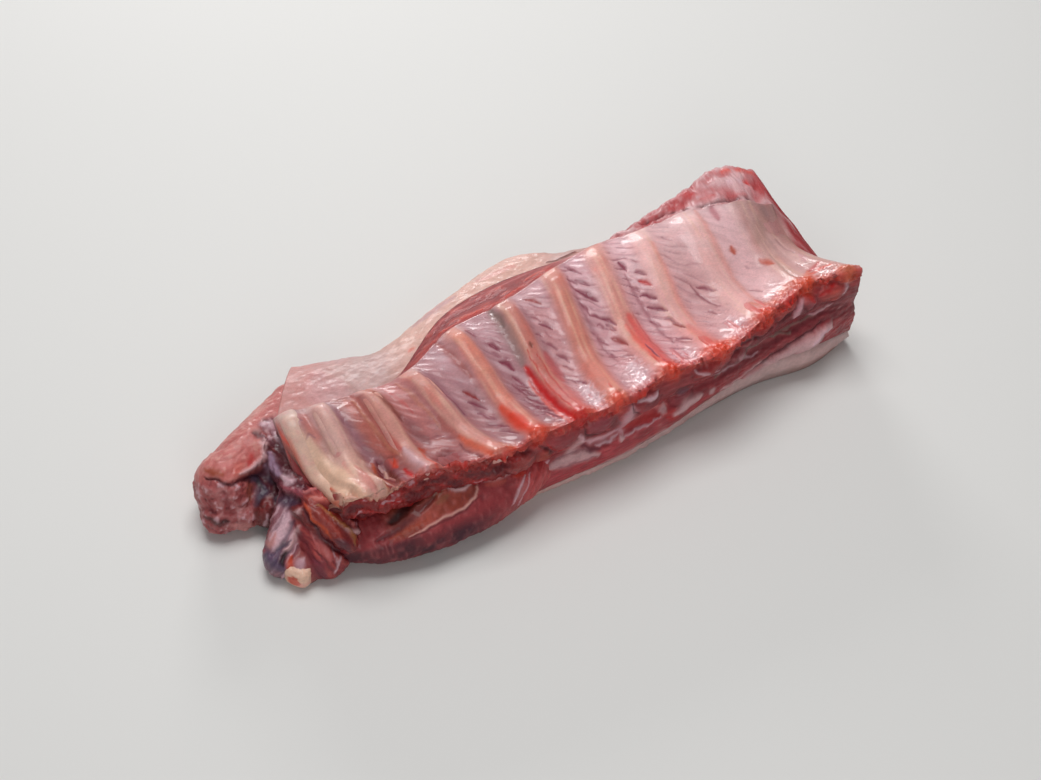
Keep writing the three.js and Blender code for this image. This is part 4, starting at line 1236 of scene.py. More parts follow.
def paint_cut(u, share, points):
    """The near cut: lumps between the rib ends, fat pockets, seams and lean."""
    coat = Coat(points[:, [0, 2]], COLOURS["lean"], cut_place, 31, 0.9)
    grain = noise(scaled(points, 0.3), 1.3, 33)
    patches = rough_noise(scaled(points, 0.5), 9, 35)
    torn = rough_noise(points, 5, 21)
    shreds = rough_noise(points, 2, 22)
    right = rise(u, 8.2, 9.4)
    paint_cut_ground(coat, u, share, grain, patches, right)
    paint_cut_lumps(coat, grain, patches)
    coat.strokes(CUT_MARKS)
    ripped = fade(u, 4.0, 5.0) * rise(share, 0.3, 0.5)
    rip_cut(coat, ripped, torn, shreds, rough_noise(scaled(points, 0.5), 4, 37))
    edge = rise(share + 0.06 * torn, 0.82, 0.95)
    red = edge * np.interp(u, NEAR_EDGE_RED_AT, NEAR_EDGE_RED)
    redden(coat, red, torn, shreds, (0.0, 0.5, 0.7), (0.1, 0.5, 0.5), 0.6)
    coat.wash("ivory", fade(u, 2.1, 2.5) * rise(share + 0.03 * torn, 0.86, 0.92), 0.9)
    roughen(coat, u, edge, torn, shreds)
    coat.relief += 0.4 * shreds * right
    for n, radius, colour in TORN_ENDS:
        coat.stroke(colour, [(n, 0.97), (n, 0.9)], 2 * radius, 0.7, 0.8, 0.2)
    coat.wet = 0.55 + 0.25 * torn
    coat.fibre[:] = 0.8
    return coat


def paint_far_step(u, down, points):
    """The step down from the ribs' far ends, and the strip beyond it up to the fat."""
    coat = Coat(points[:, :2], tone(196, 142, 138), plan_place, seed=41)
    streaks = noise(scaled(points, 0.16), 1.2, 43)
    left = rise(u, 3.6, 4.2) * fade(u, 7.2, 8.0) * rise(down, 0.28, 0.42)
    coat.wash((150, 58, 58), left, 1.0)
    coat.wash("dark_lean", left * np.clip(-streaks, 0, 1), 0.5)
    coat.wash("salmon", left * rise(streaks, 0.1, 0.9), 0.6)
    coat.wash("orange_red", left * bump(down, 0.42, 0.08) * rise(streaks, -0.4, 0.5), 0.35)
    right = rise(u, 7.6, 9)
    patches = rough_noise(points, 7, 44)
    coat.wash((190, 134, 134), right, 0.9)
    coat.wash("white_fat", right * rise(patches, 0.0, 0.35), 0.85)
    coat.wash((172, 50, 52), right * rise(-patches, 0.1, 0.4), 0.8)
    shreds = rough_noise(points, 3, 45)
    coat.relief += 0.5 * streaks * (1 - right) + right * (1.3 * patches + 1.0 * shreds)
    coat.strokes(FAR_MARKS)
    coat.wet = lerp(0.45 + 0.25 * patches, 0.15, left)
    coat.fibre[:] = 0.6
    return coat


def merge_coats(whole, rows, part):
    whole.colour[rows] = part.colour
    whole.relief[rows] = part.relief
    whole.wet[rows] = part.wet
    whole.fibre[rows] = part.fibre


SHEET_DEPTH = 2.2  # thickness of the rib side's skin
BED_DEPTH = 1.2  # how far the body's top lies under the skin's
PLATE_LIP = 3.2  # how far the skin over the first two ribs hangs out over the cut


def beneath(points, depth):
    """A few rows under the rib side, from its near edge to its far one."""
    rows = np.linspace(0, TOP_ROWS - 1, BENEATH_ROWS + 2)[1:-1].astype(int)
    rows[0] = 3
    rows[-1] = TOP_ROWS - 4
    return rows, points[rows] - np.array([0, 0, depth])


def paint_slab(points, u, v, up_cut):
    """Coat of the whole slab: its rib side, its far step and its near cut, evened out where they meet."""
    rows, columns = points.shape[:2]
    flat = points.reshape(-1, 3)
    row = np.repeat(np.arange(rows), columns)
    station = np.tile(u, rows)
    coat = Coat(flat[:, :2], COLOURS["dark_lean"], wobble=0)
    top = np.where(row < TOP_ROWS)[0]
    far = np.where((row >= TOP_ROWS) & (row < TOP_ROWS + FAR_ROWS))[0]
    cut = np.where(row >= rows - CUT_ROWS)[0]
    down = (row[far] - TOP_ROWS) / FAR_ROWS
    share = up_cut[row[cut] - (rows - CUT_ROWS)]
    merge_coats(coat, top, paint_top(station[top], v[row[top]], flat[top]))
    merge_coats(coat, far, paint_far_step(station[far], down, flat[far]))
    merge_coats(coat, cut, paint_cut(station[cut], share, flat[cut]))
    blur_joins(coat, rows, columns, TOP_ROWS - 1)
    blur_joins(coat, rows, columns, rows - 1)
    return coat


TURN_ROWS = 3.0  # over which the relief turns from upright to square on the surface, each way
LIP_ROWS = (9.0, 14.0)  # that the plate's lip takes in on the rib side and on the cut
FLOOR_GAP = 0.5


def raise_slab(points, u, relief):
    """Adds the relief, upwards on the rib side, and pulls the plate's lip out over the cut."""
    rows = len(points)
    row = np.arange(rows)
    normals = surface_normals(points)
    upright = np.zeros_like(normals)
    upright[..., 2] = 1
    is_top = rise(row, TOP_ROWS + TURN_ROWS, TOP_ROWS - TURN_ROWS)[:, None, None]
    points = points + lerp(normals, upright, is_top) * relief[..., None]
    over_edge = np.maximum(1 - row / LIP_ROWS[0], 1 - (rows - 1 - row) / LIP_ROWS[1])
    lip = np.clip(over_edge, 0, 1)[:, None] * bump(u, 1.55, 0.75, 2.4)[None, :]
    points[..., 1] -= PLATE_LIP * lip
    points[..., 2] = np.maximum(points[..., 2], FLOOR_GAP)
    return points


def build_slab():
    """The rib side as a sheet of its own, lying on the body of the slab."""
    u = stations(SLAB_STATIONS)
    points, v, up_cut = slab_sections(u)
    rows, columns = points.shape[:2]
    coat = paint_slab(points, u, v, up_cut)
    points = raise_slab(points, u, coat.relief.reshape(rows, columns))
    order = np.arange(rows * columns).reshape(rows, columns)
    under_rows, under = beneath(points, SHEET_DEPTH)
    sheet = np.concatenate([points[:TOP_ROWS], under[::-1]])
    sheet_order = np.concatenate([order[:TOP_ROWS], order[under_rows][::-1]]).ravel()
    loft("rib_side", sheet, coat.spread(sheet_order), 0, "lean", RIB_SIDE, ["meat"])
    bed_rows, bed = beneath(points, BED_DEPTH)
    body = np.concatenate([points[TOP_ROWS - 1 :], points[:1], bed])
    body_order = np.concatenate([order[TOP_ROWS - 1 :], order[:1], order[bed_rows]]).ravel()
    loft("slab_body", body, coat.spread(body_order), CAP_STEPS, "lean", LEAN, ["meat"])


JOIN_BLUR = 3


def blur_joins(coat, rows, columns, edge_row):
    """Evens the colours and relief out where two charts meet, on both sides of a row."""
    for values in (coat.colour, coat.relief[:, None]):
        grid = values.reshape(rows, columns, -1)
        window = [(edge_row + k) % rows for k in range(-JOIN_BLUR, JOIN_BLUR + 2)]
        strip = grid[window].copy()
        for _ in range(5):
            strip[1:-1] = (strip[:-2] + 2 * strip[1:-1] + strip[2:]) / 4
        grid[window] = strip


# ------------------------------------------------------------------ the fat under the meat and its flap
FAT_STATIONS = 380
FAT_TOP_ROWS = 70
FAT_CAP_STEPS = 5
# Between the flap's underside and rim: share of its rounding, share of its height.
FLAP_TURN = [(0.5, 0.2), (1, 0.55)]
# Over the flap, from the rim in: shares of the way from the meat to the rim, across and up.
FLAP_TOP = [(0.75, 0.45), (0.35, 0.12)]
ON_BOARD = 0.6  # height up to which the fat lies flat


def fat_sections(u):
    """Outline of the fat at each station: under the meat, along the board, round the flap, over its top."""
    outer = np.stack([at(OUTER_Y, u), at(OUTER_Z, u)], -1)
    rim = np.stack([at(FLAP_Y, u), at(FLAP_Z, u)], -1)
    foot_y = at(FOOT_Y, u)
    layer = layer_points(u, 10)
    foot = [np.stack([foot_y - 0.4, at(FOOT_Z, u) * 0.5], -1)]
    low = []
    for share in np.linspace(0, 1, 14):
        y = lerp(foot_y + 3, rim[:, 0] - 3, share)
        low.append(np.stack([y, 0 * y], -1))
    turn = [np.stack([rim[:, 0] + FLAP_ROUND * out, rim[:, 1] * up], -1) for out, up in FLAP_TURN]
    edge = through([low[-1], *turn, rim], 22)[1:-1]
    over = [lerp(outer, rim, np.array(share)) for share in FLAP_TOP]
    top = through([rim, *over, outer], FAT_TOP_ROWS)[:-1]
    outline = np.concatenate([layer, np.stack(foot), np.stack(low), edge, top])
    x = line_x(u[None, :], share_across(u[None, :], outline[..., 0]))
    return np.concatenate([x[..., None], outline], -1)


FAT_MARKS = [
    ((186, 150, 158), 7, 0.6, 0.4, (4.6, 1.9), (5.4, 1.82)),
    ("pink", 5, 0.5, 0, (6.0, 1.8), (6.8, 1.7)),
    ("wine", 1.4, 0.6, -0.8, (7.36, 1.53), (7.7, 1.55), (8.07, 1.65)),
    ("orange_red", 3, 0.55, 0, (4.36, 1.5), (4.46, 1.5)),
    ("red", 4, 0.45, 0, (10.8, 1.8), (11.0, 1.79)),
    ("orange_red", 4, 0.7, 0.5, (11.5, 1.8), (11.97, 1.85), (12.25, 1.75)),
    ("salmon", 5, 0.5, 0.3, (9.6, 1.9), (10.2, 1.95), (10.8, 1.92)),
]


def paint_fat(station, flat, near_foot):
    """The fat: creamy in the middle of the flap, pink towards its ends, paler along the foot of the cut."""
    coat = Coat(flat[:, :2], COLOURS["fat"], plan_place, seed=81)
    cloud = rough_noise(flat, 18, 83)
    veins = noise(scaled(flat, 0.4), 2.5, 84)
    coat.wash("pink_fat", rise(cloud, -0.2, 0.5), 0.7)
    coat.wash("white_fat", rise(-cloud, 0.0, 0.6), 0.6)
    coat.wash("peach", rise(station, 7.0, 9.0) * rise(cloud, -0.5, 0.6), 0.35)
    coat.wash("pink", fade(station, 1.4, 3.2), 0.5)
    coat.wash("white_fat", rise(veins, 0.3, 0.7), 0.16)
    coat.wash("brown_pink", rise(-veins, 0.4, 0.8), 0.12)
    left = fade(station, 3.0, 4.6) * rise(station, 1.2, 2.2)
    coat.wash("lilac", left * rise(cloud, -0.4, 0.3), 0.3)
    coat.wash((232, 194, 178), rise(station, 3.6, 4.6) * fade(station, 7.0, 8.0), 0.75)
    dents = rough_noise(scaled(flat, y=1.3), 11, 85)
    coat.relief = 0.8 * dents + 0.12 * noise(flat, 2.4, 88)
    coat.strokes(FAT_MARKS)
    foot = near_foot * rise(station, 4.0, 6.0)
    coat.wash((216, 192, 190), foot, 0.8)
    shaded = foot * rise(6 - flat[:, 2], 0, 3) * rise(station, 7.5, 9)
    coat.wash((150, 104, 98), shaded, 0.8)
    coat.wet = 0.4 + 0.2 * cloud
    coat.fibre[:] = 0.25
    return coat


def build_fat():
    u = stations(FAT_STATIONS)
    points = fat_sections(u)
    rows, columns = points.shape[:2]
    flat = points.reshape(-1, 3)
    station = np.tile(u, rows)
    near_foot = flat[:, 1] < at(FOOT_Y, station) + 3
    coat = paint_fat(station, flat, near_foot)
    coat.relief[near_foot] += 0.8 * rough_noise(flat, 4, 89)[near_foot]
    coat.relief[flat[:, 2] < ON_BOARD] = 0
    points = points + surface_normals(points) * coat.relief.reshape(rows, columns, 1)
    points[..., 2] = np.maximum(points[..., 2], 0)
    loft("fat_and_flap", points, coat, FAT_CAP_STEPS, "fat", FAT, ["fat_layer"])


# ------------------------------------------------------------------ rib bones
BONE_RING = 32
BONE_LENGTH = 90
BONE_START = 0.025
BARE_BONE_START = 0.05
BONE_SUNK = 0.9
HIDDEN_DEPTH = 3.0
BARE_END_DROP = 4.0
COVERED_WIDTH = 0.94
BONE_SQUARE = 0.85  # 1 gives round bones, less gives flatter sides


def bone_middle(n, v):
    """Middle line of a bone, just under the rib side, with its hidden ends sunk deeper."""
    bare = n == 1
    covered = 1 - rise(v, 0.04, 0.16) * fade(v, 0.84, 0.94)
    sunk = 0.0 if bare else BONE_SUNK + HIDDEN_DEPTH * covered
    middle = cage_point(float(n), v, BONE_PROUD[n - 1] - sunk - BONE_HEIGHT / 2)
    if bare:
        middle[:, 1] -= fade(v, 0, 0.04) * BONE_OVERHANG
        middle[:, 0] += 0.5 * along(FIRST_RIB_BEND_AT, FIRST_RIB_BEND, v)
        middle[:, 2] -= BARE_END_DROP * fade(v, 0.08, 0.36)
    return middle


def bone_points(middle, v, width):
    """Squared rings round a bone's middle line, smaller towards its ends."""
    slim = 1 - 0.45 * fade(v, v[0], v[0] + 0.03) ** 2 - 0.4 * rise(v, 0.97, 1.0) ** 2
    ring = []
    for a in 2 * np.pi * np.arange(BONE_RING) / BONE_RING:
        across = width / 2 * np.sign(np.cos(a)) * np.abs(np.cos(a)) ** BONE_SQUARE * slim
        up = BONE_HEIGHT / 2 * np.sign(np.sin(a)) * np.abs(np.sin(a)) ** BONE_SQUARE * slim
        ring.append(middle + np.stack([across, 0 * v, up], -1))
    return np.stack(ring)


def build_rib(n):
    """A flattened bone that follows the rib cage's curve, with rounded ends."""
    bare = n == 1
    v = np.linspace(BARE_BONE_START if bare else BONE_START, 1, BONE_LENGTH)
    points = bone_points(bone_middle(n, v), v, BONE_WIDTH * (1.0 if bare else COVERED_WIDTH))
    flat = points.reshape(-1, 3)
    coat = Coat(flat[:, :2], (0, 0, 0), seed=100 + n)
    share = np.tile(v, BONE_RING)
    far, near = RIB_BANDS[n - 1][:2]
    coat.colour = lerp(tone(*near), tone(*far), share[:, None])
    streaks = noise(scaled(flat, y=0.1), 1.8, 110 + n)
    coat.wash("ivory", np.clip(streaks, 0, 1), 0.5)
    coat.wash("pink", np.clip(-streaks, 0, 1), 0.4)
    if bare:
        left = rise(line_x(1.0, share) - flat[:, 0], 4.2, 6.2)
        coat.wash("orange_red", left * fade(share, 0.6, 0.8), 0.6)
    loft(f"rib_bone_{n:02d}", points, coat, 3, "ivory", BONE, [f"rib_{n:02d}"])


# ------------------------------------------------------------------ rounded muscles
def muscle_frame(start, end):
    start = np.array(start, float)
    axis = np.array(end, float) - start
    length = np.linalg.norm(axis)
    axis = axis / length
    across = np.cross((0, 0, 1), axis)
    across = across / np.linalg.norm(across)
    return start + axis * length / 2, length, np.stack([axis, across, np.cross(axis, across)])


def belly_points(unit, start, end, width, height, blunt):
    """Moves the points of a unit ball onto a muscle's belly, in the slab's layout."""
    middle, length, basis = muscle_frame(start, end)
    if blunt:
        local = unit * np.array([width / 2, width / 2, height / 2])
        local[:, 0] += np.sign(unit[:, 0]) * length / 2 * rise(np.abs(unit[:, 0]), 0.0, 0.12)
    else:
        local = unit * np.array([length / 2, width / 2, height / 2])
    return middle + local @ basis


# ------------------------------------------------------------------ loin muscle
DEGREE = 0.42  # length on the chart of one degree round the muscle
LOIN_MARKS = [
    # colour, width, strength, relief, then (x, degrees up from the near side)
    # Near-black stroke: painted shadow in the gap above the loin.
    ("black_red", 8, 0.9, -1.6, (-118, 58), (-108, 68), (-99, 78), (-92, 80), (-84, 77)),
    ("wine", 5, 0.7, -0.8, (-128, 40), (-116, 46), (-104, 56), (-92, 66)),
    ("cream", 1.6, 0.8, 0.6, (-112, 30), (-102, 34), (-94, 38), (-80, 38), (-73, 45), (-69, 57), (-68, 66)),
    ("dark_lean", 1.5, 0.6, -0.4, (-110, 27), (-96, 33), (-80, 34), (-70, 44)),
    ("white_fat", 2.0, 0.95, 0.9, (-70, 66), (-77, 60), (-81, 62), (-84, 68)),
    ("white_fat", 1.2, 0.8, 0.6, (-84, 68), (-88, 70), (-92, 67)),
    # Near-black stroke: painted shadow above the pale strip.
    ("black_red", 3.0, 0.85, -1.2, (-67, 70), (-56, 66), (-46, 64)),
    ("white_fat", 3.4, 0.8, 0.5, (-66, 62), (-58, 57), (-50, 54)),
    ("salmon", 4.0, 0.6, 0.2, (-64, 54), (-54, 48)),
    ("orange_red", 4.0, 0.6, 0, (-48, 47), (-42, 44)),
    ("silver", 2.0, 0.8, 0.5, (-42, 42), (-46, 32), (-49, 22), (-54, 6)),
    ("silver", 1.6, 0.7, 0.4, (-39, 40), (-42, 26), (-47, 10), (-50, -4)),
    ("pink_fat", 4.5, 0.4, 0.2, (-44, 30), (-50, 10)),
    ("silver", 1.2, 0.85, 0.4, (-104, -42), (-96, -40), (-84, -40), (-74, -38)),
    # The two olive strokes are painted shade in the groove of the brown zone.
    ("olive", 5.0, 0.6, 0, (-94, 72), (-88, 68)),
    ("olive", 4.0, 0.6, 0, (-92, 58), (-86, 60)),
    ("rust", 3.0, 0.6, 0, (-122, 36), (-110, 40), (-100, 44)),
]


LOIN_SEAM_AT = [-128, -112, -94, -80, -73, -69, -66]
LOIN_SEAM = [26, 29, 38, 38, 46, 58, 66]


def paint_loin(x, angle, points):
    """The loin: darker low down and at its left end, as painted shade, and dry low down; brown above a pale
    seam, redder where the cut begins.
    """
    coat = Coat(
        np.stack([x, angle * DEGREE], 1),
        tone(150, 58, 62),
        lambda place, degrees: (place, degrees * DEGREE),
        seed=131,
    )
    patches = rough_noise(points, 14, 133)
    grain = noise(scaled(points, 1.0, 0.45, 0.45), 1.3, 135)
    fibres = noise(flat_points(x - 0.3 * angle, angle * 0.06), 1.2, 136)
    # Painted shade on the loin's underside, darkest towards its left end.
    low = rise(30 - angle, 0, 26) * rise(-x, 56, 84)
    coat.wash((62, 16, 40), low, 0.98)
    coat.wash((74, 26, 40), rise(-x, 84, 116) * fade(angle, 18, 34), 0.9)
    coat.wash("lean", rise(patches, -0.1, 0.5), 0.5)
    seam = along(LOIN_SEAM_AT, LOIN_SEAM, x)
    upper = rise(angle - seam, -2, 4) * rise(x, -126, -114) * fade(x, -70, -66)
    coat.wash((142, 62, 36), upper, 0.9)
    coat.wash("salmon", upper * rise(patches, 0.1, 0.6), 0.4)
    coat.wash("brown", upper * rise(-patches, 0.1, 0.6), 0.5)
    right = rise(x, -54, -40)
    coat.wash((192, 70, 70), right, 0.85)
    coat.wash("pink", right * np.clip(fibres, 0, 1), 0.4)
    coat.wash("white_fat", rise(x, -22, -16), 0.4)
    coat.wash("pink", np.clip(grain, 0, 1), 0.26)
    coat.wash("wine", np.clip(-grain, 0, 1), 0.36)
    coat.wash("dark_lean", rise(-fibres, 0.3, 0.7), 0.3)
    coat.relief += 0.35 * grain + 0.8 * noise(points, 9, 139) + 0.5 * patches
    coat.strokes(LOIN_MARKS)
    coat.wet = lerp(0.5 + 0.25 * patches, 0.08, low)
    coat.fibre[:] = 0.9
    return coat


def build_loin():
    mesh = ball_mesh("loin", 280, 200)
    unit = read_points(mesh)[:, [2, 0, 1]]
    start, end, width, height = LOIN
    points = belly_points(unit, start, end, width, height, False)
    middle, length, basis = muscle_frame(start, end)
    local = (points - middle) @ basis.T
    angle = np.degrees(np.arctan2(local[:, 2] / height, -local[:, 1] / width))
    coat = paint_loin(points[:, 0], angle, points)
    outward = unit * np.array([2 / length, 2 / width, 2 / height]) @ basis
    outward = outward / np.linalg.norm(outward, axis=1, keepdims=True)
    points = points + outward * coat.relief[:, None]
    finish_ball("loin_muscle", mesh, points, coat, LEAN, ["meat"])


# ------------------------------------------------------------------ shoulder end
REMESH_SIZE = 0.8
SHARE_SHARPNESS = 18
# A slanted chart of the shoulder end, from where its torn side is seen: across it and up it.
SLANT_ACROSS = np.array([0.871, -0.418, -0.079])
SLANT_UP = np.array([0.368, 0.642, 0.618])
SLANT_MIDDLE = np.array([175.6, 102.8])
# Strands, creases, stains and painted shade on that chart: colour, width, strength, relief, then the path.
BELLY_MARKS = [
    ("brown_pink", 1.6, 0.6, -0.4, (7, 69), (17, 72), (22, 76)),
    ("brown_pink", 1.6, 0.5, -0.4, (6, 74), (14, 79), (20, 83)),
    ("brown_pink", 1.6, 0.5, -0.4, (15, 65), (22, 70)),
    ("cream", 5, 0.4, 0.3, (24, 90), (29, 97), (33, 101)),
    ("salmon", 6, 0.5, 0.4, (20, 68), (17, 63)),
    ((150, 74, 38), 4.5, 0.85, 0.2, (2.5, 65), (11, 63)),
    # A pressed-in crease, darkened partly as painted shade under the lobe above it.
    ("wine", 2.4, 0.9, -1.6, (1.5, 61), (8, 60), (16, 57), (20, 60), (25, 61.5), (31, 62)),
    ("pink_fat", 6, 0.5, 0.3, (8, 55), (13, 50)),
    ((130, 50, 56), 4, 0.75, -0.4, (11, 54), (14, 45)),
    ((130, 50, 56), 3, 0.6, -0.3, (4, 50), (5, 43)),
    ((150, 86, 64), 4.5, 0.8, 0, (25.5, 60), (24, 50)),
    ("pink_fat", 2.2, 0.85, 0.6, (16, 50), (20, 44), (19, 38)),
    ("pink_fat", 1.8, 0.7, 0.4, (20, 44), (23, 50)),
    ((206, 160, 152), 5, 0.7, 0.5, (15, 37), (24, 36), (30, 36)),
    # Near-black stroke: painted shadow under the torn tip's ragged bottom.
    ((60, 24, 26), 3.5, 0.8, -0.6, (2.5, 41), (8, 38), (14, 39)),
    ("wine", 3.6, 0.9, -0.8, (27, 84.5), (31, 82)),
    ("wine", 8, 0.9, -1.0, (34, 77), (34, 66), (28, 61.5), (24, 61)),
    ("red", 5, 0.7, 0, (25.5, 73), (24, 68)),
    ("white_fat", 3.0, 0.95, 1.4, (32, 79.5), (31.5, 72.5), (29, 68.5), (25, 66), (20, 63)),
    ("white_fat", 5, 0.95, 0.8, (32, 80), (32, 78)),
]
HOLLOW_MARKS = [
    # The first three strokes, slate and near black, are painted shade in the hollow.
    ("slate", 9, 0.9, -0.8, (28, 60), (33, 60), (32, 55), (28, 48)),
    ((56, 64, 66), 3, 0.7, 0, (30, 60), (30, 57)),
    ((70, 32, 26), 6, 0.9, 0, (31, 50), (29, 42)),
    ((122, 40, 38), 9, 0.9, 0, (34, 51), (32, 40), (31, 30)),
    ("silver", 1.6, 0.7, 0.4, (34, 42), (32.5, 34)),
    ("wine", 5, 0.95, -1.4, (32, 61), (37, 55), (45, 51), (49, 50)),
    ("wine", 9, 0.85, 0, (38, 74), (46, 66), (51, 62)),
    ("silver", 7, 0.75, 0.4, (31, 88), (41, 88), (40, 82)),
    ("silver", 3, 0.8, 0.6, (38, 84), (43, 76), (45, 70)),
    ((170, 160, 184), 5, 0.9, 1.0, (34.5, 74), (36, 67), (40, 62)),
    ("silver", 5, 0.95, 1.2, (42, 61), (46, 59)),
    ((156, 86, 98), 4.5, 0.9, 0.5, (41, 57), (47, 54), (52, 51)),
    ("orange_red", 3.4, 0.85, 0.3, (42, 85), (44.5, 77.5), (47, 72)),
    ((130, 32, 38), 7, 0.9, 0, (48, 71), (55, 61), (65, 54), (73, 50)),
    ("wine", 2, 0.8, -0.8, (50, 66), (58, 58), (70, 51)),
    ("red", 1.8, 0.8, 0.4, (46, 70), (53, 60), (60, 55)),
    ("pink", 1.8, 0.85, 0.7, (52, 53.5), (58, 56), (63, 57)),
    ("pink", 1.4, 0.8, 0.6, (60, 53), (67, 53), (73, 50)),
]
COLUMN_MARKS = [
    # Painted shadow in the cavity above the column.
    ("slate", 8, 0.8, -0.6, (38, 50), (47, 49)),
    ("silver", 6, 0.8, 0.3, (45, 43), (41, 33), (37, 27)),
    ("slate", 2.2, 0.6, -0.5, (47, 40), (42, 30), (38, 25)),
    ("grey", 2.4, 0.7, 0, (42, 43), (38, 34), (35, 28)),
    ((206, 160, 152), 4.5, 0.85, 0.4, (38, 33), (34, 27)),
    ("silver", 1.4, 0.8, 0.4, (43, 44), (40, 36), (35, 30)),
    ("white_fat", 4, 0.9, 0.8, (50, 37), (47, 30), (42, 24)),
    ("slate", 2.5, 0.8, -0.8, (45, 30), (39, 25), (35, 23)),
    ((84, 76, 106), 11, 0.9, 0, (31, 23), (41, 16)),
    ((176, 96, 92), 3.5, 0.7, 0.3, (31, 25), (26, 21)),
    ("black_red", 4, 0.9, -1.2, (42, 23), (41, 17)),
    ((200, 76, 30), 4.5, 0.9, 0.6, (46, 21), (45, 14)),
    ((190, 170, 178), 4.5, 0.85, 0.4, (51, 21), (49, 14)),
    ("wine", 4, 0.8, -1.2, (48, 50), (52, 49)),
    ("white_fat", 5.2, 0.98, 1.6, (49.5, 45), (49.5, 44.5)),
]
FRONT_MARKS = [
    ((110, 40, 50), 5, 0.7, -0.3, (50, 33), (55, 20)),
    ((200, 124, 120), 4, 0.6, 0.2, (59, 32), (65, 20)),
    ((200, 124, 120), 1.6, 0.6, 0.2, (55, 34), (60, 24)),
    ((110, 50, 68), 7, 0.7, 0, (57, 20), (62, 11)),
    ("silver", 1.3, 0.8, 0.3, (70, 22), (67, 13)),
    ("silver", 1.1, 0.7, 0.3, (66, 26), (69, 18)),
    ((132, 40, 44), 6, 0.7, 0, (70, 24), (76, 18), (74, 12)),
    ((156, 70, 62), 9, 0.7, 0.3, (54, 51), (64, 49), (72, 46)),
    ((200, 120, 104), 2.4, 0.85, 0.6, (55, 51), (61, 50), (67, 48)),
    ("wine", 2, 0.8, -0.8, (58, 48), (66, 45), (73, 42)),
    ((172, 52, 40), 4, 0.7, 0, (60, 45), (70, 42)),
    ("slate", 4, 0.7, -0.4, (74, 45), (76, 41)),
    ("wine", 5, 0.8, -0.6, (73, 50), (80, 42)),
    ("white_fat", 3, 0.85, 0.8, (72, 36), (77, 34.5), (82, 35)),
    ((126, 44, 36), 13, 0.92, 1.2, (53.5, 47), (62, 39), (71, 29)),
    ((160, 72, 58), 2.2, 0.6, 0.3, (58, 44), (66, 37), (71, 31)),
    ((84, 36, 52), 7, 0.85, 0, (68, 30), (74, 25)),
    ((192, 88, 46), 1.8, 0.85, 0.2, (52, 48.5), (56, 41), (65, 32)),
    ((156, 112, 62), 2.0, 0.85, 0.6, (58, 47.5), (67, 41), (75, 35), (77, 28)),
    ("wine", 2.8, 0.95, -1.6, (51.5, 45.5), (58, 34), (66, 26), (75, 21)),
]


def grow_together(muscles):
    """One smooth mesh out of muscles that overlap."""
    bm = bmesh.new()
    for start, end, width, height, blunt, _ in muscles:
        ball = ball_mesh("belly", 40, 28)
        points = belly_points(read_points(ball)[:, [2, 0, 1]], start, end, width, height, blunt)
        write_points(ball, (points + SHIFT) * MM)
        bm.from_mesh(ball)
        bpy.data.meshes.remove(ball)
    joined = bpy.data.meshes.new("joined")
    bm.to_mesh(joined)
    bm.free()
    lump = bpy.data.objects.new("shoulder_lump", joined)
    bpy.context.scene.collection.objects.link(lump)
    remesh = lump.modifiers.new("grow_together", "REMESH")
    remesh.mode = "VOXEL"
    remesh.voxel_size = REMESH_SIZE * MM
    soften = lump.modifiers.new("soften", "SMOOTH")
    soften.factor = 0.5
    soften.iterations = 3
    depsgraph = bpy.context.evaluated_depsgraph_get()
    mesh = bpy.data.meshes.new_from_object(lump.evaluated_get(depsgraph))
    bpy.data.objects.remove(lump)
    return mesh


def build_shoulder():
    """The torn muscles of the shoulder end, grown together into one skin."""
    mesh = grow_together(SHOULDER_MUSCLES.values())
    points = read_points(mesh) / MM - SHIFT
    normals = read_normals(mesh)
    coat = paint_shoulder(points, normals)
    points = points + normals * coat.relief[:, None]
    finish_ball("shoulder_muscles", mesh, points, coat, LEAN, ["meat"])


def segment_distance(points, start, end):
    a = np.array(start, float)
    step = np.array(end, float) - a
    t = np.clip((points - a) @ step / (step @ step), 0, 1)
    return np.linalg.norm(points - (a + t[:, None] * step), axis=1)


def muscle_shares(points):
    """How much of each of the grown-together muscles a point belongs to."""
    weights = []
    for start, end, width, height, *_ in SHOULDER_MUSCLES.values():
        gap = segment_distance(points, start, end) / ((width + height) / 4)
        weights.append(np.exp(-SHARE_SHARPNESS * gap))
    weights = np.array(weights)
    return dict(zip(SHOULDER_MUSCLES, weights / weights.sum(0)))


def paint_torn_tip(coat, tip, shreds):
    coat.wash((160, 86, 86), tip, 0.8)
    coat.wash("pink_fat", tip * rise(shreds, 0.0, 0.4), 0.7)
    coat.wash("silver", tip * rise(shreds, 0.4, 0.6), 0.6)
    coat.wash("wine", tip * rise(-shreds, 0.2, 0.6), 0.7)


